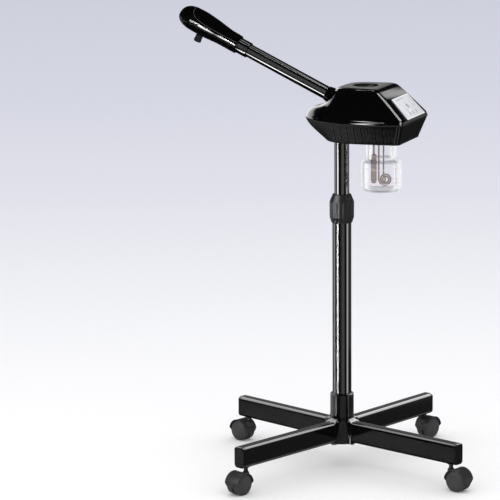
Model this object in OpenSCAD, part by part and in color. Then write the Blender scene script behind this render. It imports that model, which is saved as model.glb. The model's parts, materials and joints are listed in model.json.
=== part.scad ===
// Floor-standing facial steamer on a four-leg caster base.
// Origin: floor level, in the middle of the overall outline. +Z up, -X towards
// the steam arm, +X towards the control panel. Leg names take -Y as front and +X
// as right. Each part is drawn from the column's axis, which stands at
// [column_x, column_y]. Millimetres. Revolved profiles list [radius, z] points.

/* [Column] */
// Outer diameter of the lower column tube
lower_tube_d = 45; // [44:0.5:46]
// Outer diameter of the telescopic upper tube
upper_tube_d = 35; // [34:0.5:36]
// Wall of the lower column tube
tube_wall = 1.8; // [1.4:0.1:2]
// Height of the top of the lower tube above the floor
lower_tube_top = 598; // [560:1:600]
// Outer diameter of the ribbed height collar
collar_d = 58; // [57:0.5:60]
// Number of ribs around the height collar
collar_ribs = 18; // [12:1:24]

/* [Base] */
// Angle of the first leg from +X, seen from above
leg_angle = -21; // [-30:0.1:-15]
// Distance from the column axis to the end face of the two front legs
front_reach = 354; // [340:1:360]
// Distance from the column axis to the end face of the two rear legs
rear_reach = 338; // [325:1:350]
// Width of the leg tube
leg_w = 30; // [28:0.5:32]
// Height of the leg tube
leg_h = 50; // [46:1:52]
// Height of the underside of the legs above the floor
leg_z = 62; // [62:0.5:66]
// Corner radius of the leg tube
leg_round = 8; // [6:0.5:9]
// Wall of the leg tube
leg_wall = 1.8; // [1.4:0.1:2.2]

/* [Casters] */
// Wheel diameter of the twin-wheel casters
wheel_d = 50; // [48:0.5:50]
// Overall width over both wheels
wheel_set_w = 41; // [40:0.5:44]
// Swivel trail, stem axis to wheel axis
trail = 22; // [20:0.5:23]
// Distance from a leg's end face back to its caster stem
stem_in = 23; // [22:0.5:26]
// Caster stem diameter
stem_d = 10; // [9:0.5:11]

/* [Head] */
// Height of the seam between the two housing halves
rim_z = 842; // [842:1:843]
// Height of the underside of the housing
floor_z = 792; // [790:1:792]
// Housing wall
shell_t = 2.5; // [2:0.1:2.8]
// Distance of the water jar and boiler axis from the column axis, towards +X
jar_x = 98; // [96:1:99]
// Outer diameter of the glass jar
jar_d = 96; // [92:1:98]
// Outer diameter of the jar's neck
neck_d = 72; // [70:1:73]
// Height of the jar's bottom
jar_bottom_z = 673; // [670:1:680]

/* [Arm] */
// Angle of the steam arm above the horizontal
arm_angle = 25.5; // [24:0.5:27]
// Outer diameter of the arm tube
arm_d = 32; // [31.5:0.5:32]

/* [Hidden] */
$fn = 64;
column_x = 22.746; // these two centre the overall outline on the origin
column_y = 4.549;
arm_pivot = [-6.64, 0, 882.5];
arm_start = 22; // arm stations are counted from this far beyond the tilt pivot
leg_angles = [for (turn = [0, 90.8, 177.4, 268]) leg_angle + turn];
reach = [front_reach, rear_reach, rear_reach, front_reach];
lower_r = lower_tube_d/2;
lower_bore_r = lower_r - tube_wall;
upper_r = upper_tube_d/2;
upper_pole_top = 848;
collar_r = collar_d/2;
wheel_r = wheel_d/2;
neck_r = neck_d/2;
arm_r = arm_d/2;

// colours used by several nodes
tube_black = [0.02, 0.02, 0.025];
gloss_black = [0.02, 0.02, 0.022];
housing_black = [0.03, 0.03, 0.035];
soft_black = [0.05, 0.05, 0.05];
steel = [0.6, 0.6, 0.62];
off_white = [0.85, 0.85, 0.83];

// ---------- helpers ----------
function mix(a, b, t) = a + (b - a)*t;
function bezier(a, b, c, d, t) =
  a*pow(1 - t, 3) + 3*b*pow(1 - t, 2)*t + 3*c*(1 - t)*t*t + d*pow(t, 3);
function arc(x, y, r, angles) = [for (a = angles) [x + r*cos(a), y + r*sin(a)]];

module place() { translate([column_x, column_y, 0]) children(); }
module up(z) { translate([0, 0, z]) children(); }
module rrect(w, h, r) {
  square([w - 2*r, h], center = true);
  square([w, h - 2*r], center = true);
  for (x = [-1, 1], y = [-1, 1])
    translate([x*(w/2 - r), y*(h/2 - r)]) circle(r, $fn = 32);
}
module tube(outer_r, inner_r, z0, z1) {
  up(z0) difference() {
    cylinder(r = outer_r, h = z1 - z0);
    up(-1) cylinder(r = inner_r, h = z1 - z0 + 2);
  }
}

// triangles joining two rings of n points that start at indices a and b
function strip(a, b, n, flip) = [for (i = [0:n-1]) let (j = (i + 1) % n)
  each (flip ? [[a+i, b+i, a+j], [a+j, b+i, b+j]] : [[a+i, a+j, b+i], [a+j, b+j, b+i]])];
// closed shell from outer and inner rings, open at the first ring; flip turns the faces
module ring_shell(outer, inner, flip) {
  n = len(outer[0]);
  outer_count = len(outer);
  inner_count = len(inner);
  base = outer_count*n;
  outer_faces = [for (k = [0:outer_count-2]) each strip(k*n, (k+1)*n, n, flip)];
  inner_faces = [for (k = [0:inner_count-2]) each strip(base + k*n, base + (k+1)*n, n, !flip)];
  lip = strip(0, base, n, !flip);
  outer_cap = [for (i = [0:n-1]) (outer_count-1)*n + (flip ? i : n-1-i)];
  inner_cap = [for (i = [0:n-1]) base + (inner_count-1)*n + (flip ? n-1-i : i)];
  polyhedron(points = [for (ring = concat(outer, inner)) each ring],
    faces = concat(outer_faces, inner_faces, lip, [outer_cap], [inner_cap]), convexity = 10);
}

// ---------- base ----------
hub_bolt_x = 31;   // leg bolt, from the column axis along the leg
leg_start = 24.6;  // inner end of the leg tube
cap_l = 7;         // visible length of a leg end cap
pole_seat_z = 72;  // floor of the column's bore in the hub

module on_leg(k) { rotate([0, 0, leg_angles[k]]) children(); }
module each_leg() { for (k = [0:3]) on_leg(k) children(); }
// origin at each leg's end face
module each_end() { for (k = [0:3]) on_leg(k) translate([reach[k], 0, 0]) children(); }
// section plane of the leg tube, starting at x and extruding outwards
module leg_section(x) { translate([x, 0, leg_z + leg_h/2]) rotate([90, 0, 90]) children(); }

module base_hub() color(housing_black) difference() {
  rotate_extrude() polygon([[0, 58], [37, 58], [38, 60], [37, 72], [34.5, 90], [32, 104],
    [30.5, 112], [29.6, 119], [28.5, 124], [28, 128], [28, 175], [26.8, 177.5], [0, 177.5]]);
  up(pole_seat_z) cylinder(r = lower_r + 0.05, h = 120);
  up(50) cylinder(r = 5.1, h = 40);
  each_leg() {
    translate([24.5, -leg_w/2 - 0.05, leg_z - 0.05]) cube([40, leg_w + 0.1, leg_h + 0.1]);
    translate([hub_bolt_x, 0, 50]) cylinder(r = 3.1, h = 20, $fn = 32);
  }
}
module leg(k) color(tube_black) on_leg(k) difference() {
  leg_section(leg_start) linear_extrude(reach[k] - cap_l - leg_start) difference() {
    rrect(leg_w, leg_h, leg_round);
    rrect(leg_w - 2*leg_wall, leg_h - 2*leg_wall, leg_round - leg_wall);
  }
  translate([hub_bolt_x, 0, leg_z - 2]) cylinder(r = 3.1, h = 8, $fn = 32);
  translate([reach[k] - stem_in, 0, leg_z - 2]) cylinder(r = 7.1, h = 8, $fn = 32);
}
module leg_front_right() leg(0);
module leg_rear_right() leg(1);
module leg_rear_left() leg(2);
module leg_front_left() leg(3);
// stepped outer face, with a hollow plug inside the leg tube
module leg_end_caps() color(gloss_black) each_end() leg_section(-cap_l) {
  linear_extrude(4.5) rrect(leg_w, leg_h, leg_round);
  up(4.5) linear_extrude(1.5) rrect(leg_w - 1.6, leg_h - 1.6, leg_round - 0.8);
  up(6) linear_extrude(1) rrect(leg_w - 4.6, leg_h - 4.6, leg_round - 2);
  up(-8) linear_extrude(8) difference() {
    rrect(leg_w - 2*leg_wall - 0.3, leg_h - 2*leg_wall - 0.3, leg_round - leg_wall);
    rrect(leg_w - 2*leg_wall - 5, leg_h - 2*leg_wall - 5, leg_round - 4);
  }
}
// hex head under the hub, nut inside the leg
module leg_bolts() color(steel) each_leg() translate([hub_bolt_x, 0, 0]) {
  up(54) cylinder(r = 5.5, h = 4, $fn = 6);
  up(58) cylinder(r = 3, h = 14, $fn = 32);
  up(leg_z + leg_wall + 0.05) difference() {
    cylinder(r = 5.5, h = 4.5, $fn = 6);
    up(-1) cylinder(r = 2.9, h = 7, $fn = 32);
  }
}
module caster_sockets() color(soft_black) each_end() translate([-stem_in, 0, 0]) difference() {
  union() {
    up(leg_z - 1.6) cylinder(r = 9, h = 1.55, $fn = 32);
    up(leg_z - 1) cylinder(r = 7, h = 38, $fn = 32);
  }
  up(leg_z - 4) cylinder(r = stem_d/2 + 0.06, h = 39, $fn = 48);
}
module pole_bolt() color(steel) {
  up(51) cylinder(r = 8.5, h = 6, $fn = 6);
  up(57) cylinder(r = 11, h = 1, $fn = 48);
  up(58) cylinder(r = 5, h = 30, $fn = 32);
}

// ---------- column ----------
module lower_pole() color(tube_black) difference() {
  union() {
    tube(lower_r, lower_bore_r, pole_seat_z + 0.1, lower_tube_top);
    up(76) cylinder(r = lower_r - 1, h = 8);
  }
  up(70) cylinder(r = 5.05, h = 30, $fn = 32);
}
module collet_sleeve() color([0.08, 0.08, 0.09]) difference() {
  rotate_extrude() polygon([[0, 560], [lower_bore_r - 0.1, 560],
    [lower_bore_r - 0.1, lower_tube_top + 0.05], [lower_r, lower_tube_top + 0.05],
    [lower_r, 606], [20.4, 612], [20.4, 636], [18.9, 648], [0, 648]]);
  up(550) cylinder(r = upper_r + 0.06, h = 110);
  for (a = [0:60:150]) rotate([0, 0, a]) translate([-30, -0.8, 618]) cube([60, 1.6, 40]);
}
module height_collar() color([0.1, 0.1, 0.11]) difference() {
  rotate_extrude() polygon([[24, 591], [collar_r - 0.6, 603], [collar_r, 605], [collar_r, 640],
    [collar_r - 0.4, 641.2], [21.4, 659], [20.6, 659.5], [upper_r + 0.4, 659.5],
    [upper_r + 0.4, 652], [21, 640], [21, 612.5], [lower_r + 0.4, 608],
    [lower_r + 0.15, 606], [lower_r + 0.15, 591]]);
  for (i = [0:collar_ribs-1]) rotate([0, 0, i*360/collar_ribs])
    translate([collar_r + 3.2, 0, 606]) cylinder(r = 4, h = 33, $fn = 32);
}
module upper_pole() color(tube_black) tube(upper_r, upper_r - 1.6, 230, upper_pole_top);
module slide_bush() color([0.75, 0.75, 0.72]) up(226) difference() {
  cylinder(r = lower_bore_r - 0.1, h = 36);
  up(3.9) cylinder(r = upper_r + 0.02, h = 40);
  up(-1) cylinder(r = 12, h = 40);
}

// ---------- casters ----------
hood_bottom_r = 25.9; // inner radius of the hood's arched band

module on_caster(k) { on_leg(k) translate([reach[k] - stem_in, 0, 0]) children(); }
// origin on the wheel axis, +Z along the axle, +X outwards along the leg, +Y up
module on_wheel(k) { on_caster(k) translate([trail, 0, wheel_r]) rotate([90, 0, 0]) children(); }
module caster_stem(k) color([0.15, 0.15, 0.16]) on_caster(k) {
  up(40) cylinder(r = stem_d/2, h = 56, $fn = 48);
  up(48.6) cylinder(r = 7, h = 1.4, $fn = 48);
}
module caster_hood(k) color([0.09, 0.09, 0.1]) {
  half_w = wheel_set_w/2;
  difference() {
    union() {
      // arched band over both wheels
      on_wheel(k) rotate([0, 0, -8]) rotate_extrude(angle = 196)
        translate([hood_bottom_r, -half_w]) square([1.9, 2*half_w]);
      // web between the wheels
      on_wheel(k) difference() {
        up(-3) cylinder(r = 26.2, h = 6);
        translate([-40, -46, -10]) cube([80, 40, 20]);
      }
      on_caster(k) up(36.5) cylinder(r = 8.2, h = 12, $fn = 48);
    }
    on_caster(k) up(39.9) cylinder(r = stem_d/2 + 0.02, h = 20, $fn = 48);
    // room for the wheels
    on_wheel(k) for (z = [3.5, -half_w - 0.2]) up(z) cylinder(r = 25.5, h = half_w - 3.3);
    on_wheel(k) up(-10) cylinder(r = 3.06, h = 20, $fn = 48);
  }
}
module caster_axle(k) color(steel) on_wheel(k) up(-16) cylinder(r = 3, h = 32, $fn = 48);
module caster_wheels(k) color([0.16, 0.16, 0.17])
  on_wheel(k) for (s = [0, 1]) mirror([0, 0, s]) difference() {
    rotate_extrude() polygon([[0, 3.9], [24, 3.9], [wheel_r, 5], [wheel_r, 15], [24.2, 16.6],
      [22.8, 17.4], [21.8, 17.4], [18.5, 18.6], [14, 19.7], [8, 20.35], [0, wheel_set_w/2]]);
    up(3) cylinder(r = 3.02, h = 13.05, $fn = 48);
  }
module caster_stem_1() caster_stem(0);
module caster_stem_2() caster_stem(1);
module caster_stem_3() caster_stem(2);
module caster_stem_4() caster_stem(3);
module caster_hood_1() caster_hood(0);
module caster_hood_2() caster_hood(1);
module caster_hood_3() caster_hood(2);
module caster_hood_4() caster_hood(3);
module caster_axle_1() caster_axle(0);
module caster_axle_2() caster_axle(1);
module caster_axle_3() caster_axle(2);
module caster_axle_4() caster_axle(3);
module caster_wheels_1() caster_wheels(0);
module caster_wheels_2() caster_wheels(1);
module caster_wheels_3() caster_wheels(2);
module caster_wheels_4() caster_wheels(3);

// ---------- housing outlines ----------
// A plan lists: nose x, nose fullness, shoulder control x and y, widest point x and y,
// half-width at the +X end, x of that end, corner radius.
RIM_PLAN = [-86, 46, -12, 121, 80, 121, 101, 181, 9];
FLOOR_PLAN = [-28, 42, -14, 74, 42, 84, 76, 164, 8];

// the +Y half, from the nose to the +X end
function half_outline(plan) = let (
    nose_x = plan[0],
    wide = [plan[4], plan[5]],
    end_x = plan[7],
    round_r = plan[8],
    corner = [end_x - round_r, plan[6]])
  concat(
    [for (t = [0:0.1:0.999])
      bezier([nose_x, 0], [nose_x, plan[1]], [plan[2], plan[3]], wide, t)],
    [for (t = [0:0.25:0.999]) bezier(wide, [mix(wide.x, corner.x, 0.4), wide.y],
      [mix(wide.x, corner.x, 0.7), mix(wide.y, corner.y, 0.65)], corner, t)],
    arc(corner.x, corner.y - round_r, round_r, [90:-30:0]),
    [[end_x, 0]]);
function outline(plan, z) = let (half = half_outline(plan)) concat(
  [for (p = half) [p.x, p.y, z]],
  [for (i = [len(half)-2:-1:1]) [half[i].x, -half[i].y, z]]);
function inset(q, t) = [q[0] + t, q[1] - 0.5*t, q[2] + 0.6*t, q[3] - t, q[4], q[5] - t,
  q[6] - t, q[7] - t, q[8] - 0.6*t];

// lower housing: levels from the seam (0) to the floor (1)
HULL_LEVELS = [0, 0.12, 0.28, 0.44, 0.6, 0.74, 0.85, 0.93, 0.98, 1];
// how far the outline has moved from rim to floor plan at a level, at the nose and the sides
function nose_blend(v) = pow(v, 1.5);
function side_blend(v) = v < 0.9 ? v*0.94
  : 0.846 + (1 - sqrt(max(0, 1 - pow((v - 0.9)/0.1, 2))))*0.154;
function hull_ring(v, t) = let (
    rim = outline(inset(RIM_PLAN, t), 0),
    base = outline(inset(FLOOR_PLAN, t), 0),
    z = mix(rim_z - 1, floor_z + t, v))
  [for (i = [0:len(rim)-1]) let (
      w = max(0, min(1, (rim[i].x + 91)/110)),
      smooth_w = w*w*(3 - 2*w),
      g = mix(nose_blend(v), side_blend(v), smooth_w))
    [mix(rim[i].x, base[i].x, g), mix(rim[i].y, base[i].y, g), z]];

// upper cover: levels from the seam to the top plateau, each z followed by its plan
COVER = [
  [843,   -86,  46, -12, 121, 80, 121, 101, 181, 9],
  [846,   -85,  44, -14, 114, 80, 115.5, 99, 180.9, 9],
  [849,   -83.8, 42, -16, 105, 80, 108, 96.5, 180.4, 9],
  [853,   -81.8, 40, -18, 97, 79, 102, 95, 178.6, 9],
  [858,   -78,  37.5, -19, 89, 78, 97.5, 93.5, 174, 9],
  [863,   -72.5, 35, -18, 83, 77, 94.5, 92, 169, 9],
  [867,   -64,  35, -16, 80, 76, 92.5, 91, 165, 9],
  [872,   -47,  39, -14, 78, 75, 90.5, 89.5, 160, 9],
  [880,   -31,  46, -12, 77, 72, 87.5, 87, 152, 9],
  [890,   -21.5, 52, -8, 75, 70, 83.5, 84.5, 142, 9],
  [896,   -16,  54, -5.5, 73.5, 68, 81, 82.7, 135.8, 9],
  [902,   -11,  55.5, -3, 71.6, 65, 78.7, 81, 129.2, 9],
  [908,   -6,   57, 0, 69.7, 63, 76.2, 79.2, 122.4, 9],
  [912.5, -2,   57, 2.5, 68, 61, 74.2, 77.4, 117.4, 9],
  [915.5, 1.5,  55.5, 5.5, 65.6, 60, 71.8, 75, 113.2, 9],
  [917.6, 7,    52, 10.5, 62, 60, 68, 71.5, 108.6, 9],
  [919,   17,   43, 21, 55, 60, 61, 65, 102, 9]];
cover_z = COVER[0][0];
function cover_plan(level) = [for (i = [1:9]) level[i]];
// the inner skin drops below the outer one gradually over the first 12 mm
function inner_z(z) = z - shell_t*max(0, min(1, (z - cover_z)/12));

// ---------- housing ----------
SCREWS = [[-10, 34], [-10, -34], [152, 67], [152, -67]];
// cooling slots along the +Y wall, upper and lower end of each; -Y is the mirror image
SLOTS = [
  [[14.1, 102.8, 832.6], [13.9, 81.7, 798.7]],
  [[32.3, 108.8, 832.4], [31.6, 88.8, 800.6]],
  [[51.2, 113.9, 834], [48.1, 89.8, 797.1]],
  [[69.1, 116.6, 835.2], [65.1, 89.6, 797.2]],
  [[85.8, 115.8, 834.2], [82.1, 89.2, 797.9]],
  [[102.1, 114.6, 834.8], [97.8, 88.2, 798.5]],
  [[119, 111.7, 835.2], [113.6, 85.4, 797]],
  [[134.9, 106.4, 833.3], [130.8, 83.2, 796.8]],
  [[151.7, 101.1, 832.2], [148.9, 81.6, 798.2]]];
inlet_xy = [147, 44];
socket_r = 22.9;
top_x = 60;       // axis of the round top opening
top_open_r = 31;
lug_y = 18.35;    // middle of each arm bracket lug
lug_t = 3.7;
pin_r = 4;        // tilt pivot pins

module at_screws(z) { for (p = SCREWS) translate([p.x, p.y, z]) children(); }
module on_top() { translate([top_x, 0, 0]) children(); }
module both_sides() { for (s = [0, 1]) mirror([0, s, 0]) children(); }

module vent_slot(top, bottom) {
  along = (top - bottom)/norm(top - bottom);
  side = [1, 0, 0] - along*along.x;
  across = side/norm(side);
  depth = cross(along, across);
  middle = (top + bottom)/2;
  multmatrix([for (i = [0:2]) [across[i], depth[i], along[i], middle[i]]])
    cube([2.2, 9, norm(top - bottom)], center = true);
}
module lower_housing() color(housing_black) difference() {
  union() {
    ring_shell([for (v = HULL_LEVELS) hull_ring(v, 0)],
      [for (v = HULL_LEVELS) hull_ring(v, shell_t)], true);
    at_screws(floor_z + 1.5) cylinder(r = 5, h = rim_z - 1 - floor_z - 1.5, $fn = 32);
  }
  up(floor_z - 5) cylinder(r = socket_r + 0.2, h = 20);
  translate([jar_x, 0, floor_z - 5]) cylinder(r = 42.2, h = 20);
  at_screws(floor_z - 5) {
    cylinder(r = 2.1, h = 70, $fn = 32);
    cylinder(r = 4.2, h = 9, $fn = 32);
  }
  for (s = SLOTS) both_sides() vent_slot(s[0], s[1]);
  translate([inlet_xy.x, inlet_xy.y, floor_z - 5]) linear_extrude(20) rrect(24, 28, 3);
}
module upper_cover() color(gloss_black) difference() {
  union() {
    ring_shell([for (c = COVER) outline(cover_plan(c), c[0])],
      [for (c = COVER) outline(inset(cover_plan(c), shell_t), inner_z(c[0]))], false);
    at_screws(rim_z + 1.1) cylinder(r = 5, h = 27, $fn = 32);
    on_top() {
      tube(33.5, top_open_r, 907, 917.5);
      tube(33, 29.7, 908, 911.8);
    }
  }
  on_top() up(902) cylinder(r = top_open_r, h = 30);
  // socket and opening for the arm knuckle
  translate(arm_pivot) sphere(r = 26.5);
  translate(arm_pivot) rotate([0, arm_angle - 97, 0]) cylinder(r = 20.9, h = 50);
  at_screws(rim_z) cylinder(r = 2.05, h = 12, $fn = 32);
  on_panel() up(-8) linear_extrude(16) square([50, 96], center = true);
}
module rim_seal() color(soft_black) {
  n = len(outline(RIM_PLAN, 0));
  // outer bottom, outer top, inner bottom and inner top rings
  polyhedron(
    points = [for (t = [-0.7, 2.2], z = [rim_z - 0.9, rim_z + 0.9])
      each outline(inset(RIM_PLAN, t), z)],
    faces = concat(strip(0, n, n, false), strip(2*n, 3*n, n, true),
      strip(n, 3*n, n, false), strip(0, 2*n, n, true)),
    convexity = 6);
}
module housing_screws() color(steel) at_screws(0) {
  up(floor_z + 1) difference() {
    cylinder(r = 3.8, h = 2.9, $fn = 32);
    up(-1) cylinder(r = 1.6, h = 2.4, $fn = 6);
  }
  up(floor_z + 3.9) cylinder(r = 2, h = 56, $fn = 32);
}
module pole_socket() color([0.1, 0.1, 0.11]) difference() {
  union() {
    up(790.5) cylinder(r = socket_r, h = 62.5);
    up(794.6) cylinder(r = 25.2, h = 3);
  }
  up(780) cylinder(r = upper_r + 0.06, h = upper_pole_top + 0.1 - 780);
  up(780) cylinder(r = 8, h = 90);
}
module arm_bracket() color([0.55, 0.55, 0.57]) difference() {
  union() {
    translate([-20, -20.2, 853.05]) cube([40, 40.4, 3]);
    for (s = [-1, 1]) {
      translate([-13, s*lug_y - lug_t/2, 854]) cube([14, lug_t, 29.5]);
      translate([arm_pivot.x, s*lug_y + lug_t/2, arm_pivot.z])
        rotate([90, 0, 0]) cylinder(r = 7, h = lug_t, $fn = 48);
    }
  }
  translate([arm_pivot.x, 30, arm_pivot.z])
    rotate([90, 0, 0]) cylinder(r = pin_r, h = 60, $fn = 48);
}
module pivot_pins() color([0.7, 0.7, 0.72]) both_sides()
  translate([arm_pivot.x, 21.3, arm_pivot.z]) rotate([90, 0, 0]) {
    cylinder(r = pin_r, h = 12.3, $fn = 48);
    up(-0.9) cylinder(r = 4.8, h = 0.9, $fn = 48);
  }

// ---------- boiler and jar ----------
boiler_r = 44.4;
outlet_dx = -26;  // steam outlet, from the jar's axis
pipe_r = 7.8;
pipe_bore_r = 6;
pipe_bend_r = 26;
glass_t = 2.8;
glass_round = 9;  // outer radius of the jar's bottom edge and shoulder
shoulder_z = 738; // centre height of the shoulder arc
coil_x = 9;       // centre of the heating coil, from the jar's axis in the coil's plane
coil_z = 699;
coil_r = 15;
coil_inner_r = 5;
coil_rise = 5.5;  // offset of the return leg from the coil's plane
coil_bend_r = 4;

module on_jar() { translate([jar_x, 0, 0]) children(); }
module boiler_head() color(off_white) on_jar() difference() {
  union() {
    rotate_extrude() polygon([[0, 806.3], [boiler_r, 806.3], [boiler_r, 811], [37, 811],
      [36, 824], [33, 834], [27, 841], [18, 845], [0, 846]]);
    tube(boiler_r, 42, floor_z + shell_t + 0.05, 808);
    translate([outlet_dx, 0, 830]) cylinder(r = 8.2, h = 24, $fn = 48);
  }
  rotate_extrude() polygon([[0, 810], [33, 810], [33, 822], [30, 831], [24, 838],
    [16, 842], [0, 843]]);
  translate([outlet_dx, 0, 820]) cylinder(r = pipe_bore_r, h = 60, $fn = 48);
  translate([4, 20, 800]) cylinder(r = 8, h = 14, $fn = 48);
}
module jar_seal() color([0.8, 0.75, 0.7])
  on_jar() tube(neck_r + 0.8, neck_r - 3, 804.1, 806.25);
module jar_ring() color([0.04, 0.04, 0.045]) on_jar() difference() {
  rotate_extrude() polygon([[neck_r + 0.35, 785], [40, 785], [41, 786], [41, 789.5],
    [41.5, 790], [41.5, 803], [neck_r + 0.35, 803]]);
  for (i = [0:35]) rotate([0, 0, i*10])
    translate([41.6, 0, 780]) cylinder(r = 0.9, h = 9.2, $fn = 16);
}
module glass_jar() color([0.85, 0.9, 0.95, 0.35]) on_jar() {
  jar_r = jar_d/2;
  round_x = jar_r - glass_round;
  bottom = jar_bottom_z;
  inner_round = glass_round - glass_t;
  // outside from the bottom up to the mouth, then back down the inside
  rotate_extrude($fn = 96) polygon(concat(
    [[0, bottom + 1.5], [30, bottom + 1.5], [34, bottom], [round_x, bottom]],
    arc(round_x, bottom + glass_round, glass_round, [-75:15:0]),
    [[jar_r, shoulder_z]],
    arc(round_x, shoulder_z, glass_round, [15:15:75]),
    [[round_x, shoulder_z + glass_round], [neck_r + 1, 748.5], [neck_r, 750.5],
      [neck_r, 803.9], [neck_r - 2.6, 803.9], [neck_r - 2.6, 748],
      [round_x, shoulder_z + inner_round]],
    arc(round_x, shoulder_z, inner_round, [75:-15:15]),
    [[jar_r - glass_t, shoulder_z]],
    arc(round_x, bottom + glass_round, inner_round, [0:-15:-75]),
    [[round_x, bottom + glass_t], [34, bottom + 3], [30, bottom + 4.2], [0, bottom + 4.2]]));
}

function spiral_point(t) = let (a = 180 + 360*2.25*t, r = mix(coil_r, coil_inner_r, t))
  [coil_x + r*cos(a), coil_z + r*sin(a), coil_rise*max(0, t - 0.6)/0.4];
// heater centre line, [x, height, offset]: down leg, spiral, bend, return leg
HEATER_PATH = concat(
  [for (z = [812, 780, 740, 715]) [coil_x - coil_r, z, 0]],
  [for (i = [0:54]) spiral_point(i/54)],
  [for (a = [15:25:90]) [coil_x - coil_bend_r*sin(a),
    coil_z + coil_inner_r + coil_bend_r - coil_bend_r*cos(a), coil_rise]],
  [for (z = [720, 745, 780, 812]) [coil_x - 4.2, z, coil_rise]]);
function unit(v) = v/norm(v);
function path_direction(path, i) = unit(path[min(len(path)-1, i+1)] - path[max(0, i-1)]);
module heating_element() color([0.72, 0.7, 0.68])
  on_jar() rotate([0, 0, 21.3]) rotate([90, 0, 0]) {
    sides = 8;
    rod_r = 1.9;
    n = len(HEATER_PATH);
    points = [for (i = [0:n-1]) let (
        along = path_direction(HEATER_PATH, i),
        side = unit(cross(along, [0, 0, 1])),
        other = cross(along, side))
      each [for (k = [0:sides-1])
        HEATER_PATH[i] + rod_r*(side*cos(360*k/sides) + other*sin(360*k/sides))]];
    polyhedron(points = points, faces = concat(
      [for (i = [0:n-2]) each strip(i*sides, (i+1)*sides, sides, true)],
      [[for (k = [0:sides-1]) k], [for (k = [0:sides-1]) (n-1)*sides + sides-1-k]]),
      convexity = 10);
  }
// ribbed body on a thin rod
module level_sensor() color([0.62, 0.58, 0.56]) on_jar() translate([-16.5, -6.5, 0])
  rotate_extrude($fn = 32) polygon(concat([[0, 690], [5, 690], [5, 694]],
    [for (i = [0:14], p = [[7, 694.5], [7, 697], [6, 697.6], [6, 698.4]]) p + [0, i*4.2]],
    [[5, 758], [2.4, 759.5], [2.4, 812], [0, 812]]));
// rises from the boiler, then bends towards -X to the arm
module steam_pipe() color(off_white) translate([jar_x + outlet_dx, 0, 0]) {
  tube(pipe_r, pipe_bore_r, 854.1, arm_pivot.z - pipe_bend_r + 0.01);
  translate([-pipe_bend_r, 0, arm_pivot.z - pipe_bend_r]) rotate([90, 0, 0])
    rotate_extrude(angle = 90) translate([pipe_bend_r, 0]) difference() {
      circle(pipe_r, $fn = 48);
      circle(pipe_bore_r, $fn = 48);
    }
  translate([-pipe_bend_r, 0, arm_pivot.z]) rotate([0, -90, 0]) difference() {
    cylinder(r = pipe_r, h = 36, $fn = 48);
    up(-1) cylinder(r = pipe_bore_r, h = 40, $fn = 48);
  }
}
module ozone_lamp() color([0.7, 0.75, 0.9]) translate([jar_x, -57, 0]) {
  up(floor_z + 2.6) cylinder(r = 9, h = 16, $fn = 32);
  up(810) cylinder(r = 7, h = 30, $fn = 32);
  up(840) sphere(r = 7, $fn = 32);
}

// ---------- control panel on the +X slope ----------
power_xy = [-2, 0];
steam_xy = [18, -22];
ozone_xy = [18, 0];
timer_xy = [18, 22];
power_r = 7;
small_r = 4.5;

module on_panel() { translate([160, 4, 872]) rotate([0, 45, 0]) children(); }
module control_panel() color([0.82, 0.83, 0.85]) on_panel() difference() {
  up(0.1) linear_extrude(1.8) polygon([[-31, -52], [-31, 62], [31, 64], [31, -64]]);
  translate([power_xy.x, power_xy.y, -1]) linear_extrude(5) circle(power_r + 0.1, $fn = 48);
  for (p = [steam_xy, ozone_xy, timer_xy])
    translate([p.x, p.y, -1]) cylinder(r = small_r + 0.1, h = 5, $fn = 48);
}
module button(r, at) color([0.2, 0.2, 0.22]) on_panel() translate([at.x, at.y, 0]) {
  up(-0.6) cylinder(r = r, h = 3.1, $fn = 48);
  up(-2.2) cylinder(r = r + 1.2, h = 1.6, $fn = 48);
  up(-5.2) cylinder(r = 1.5, h = 3, $fn = 24);
}
module power_button() button(power_r, power_xy);
module steam_button() button(small_r, steam_xy);
module ozone_button() button(small_r, ozone_xy);
module timer_button() button(small_r, timer_xy);
module control_board() color([0.1, 0.35, 0.2]) on_panel() {
  up(-9.6) linear_extrude(1.6) square([50, 92], center = true);
  for (p = [power_xy, steam_xy, ozone_xy, timer_xy])
    translate([p.x, p.y, -8]) cylinder(r = 3, h = 1.6, $fn = 24);
  for (p = [[-18, -30], [-16, 28]])
    translate([p.x, p.y, -14.6]) linear_extrude(5) square([14, 18], center = true);
}
module power_inlet() color(soft_black) translate([inlet_xy.x, inlet_xy.y, 0]) {
  up(floor_z - 2.5) linear_extrude(22) difference() {
    rrect(23.4, 27.4, 2.8);
    rrect(17, 21, 2);
  }
  up(floor_z + 19) linear_extrude(3) rrect(23.4, 27.4, 2.8);
  up(floor_z + 2.7) linear_extrude(1.6) difference() {
    rrect(27.5, 31.5, 3.5);
    rrect(20, 24, 2);
  }
  // three contact blades
  for (p = [[-4, -6], [1, 0], [-4, 6]]) translate([p.x, p.y - 1, floor_z + 2]) cube([3, 2, 18]);
}

// ---------- top opening ----------
module aroma_basket() color([0.8, 0.8, 0.82]) on_top() difference() {
  union() {
    up(898) cylinder(r = 29.4, h = 15.6);
    up(912) cylinder(r = 30.6, h = 1.6);
  }
  up(899.4) cylinder(r = 28, h = 20);
  for (a = [0:45:359], r = [10, 20])
    rotate([0, 0, a]) translate([r, 0, 892]) cylinder(r = 2, h = 12, $fn = 24);
}
// rim, disc and a bar across it
module top_cap() color([0.03, 0.03, 0.033]) on_top() {
  tube(30.7, 27.6, 913.7, 919.4);
  up(913.7) cylinder(r = 29, h = 1.6);
  intersection() {
    translate([7, -30, 915]) cube([3.4, 60, 4]);
    up(902) cylinder(r = 28, h = 40);
  }
}

// ---------- arm ----------
nozzle_t = 2.2;
spout_z = arm_start + 355;

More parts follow.
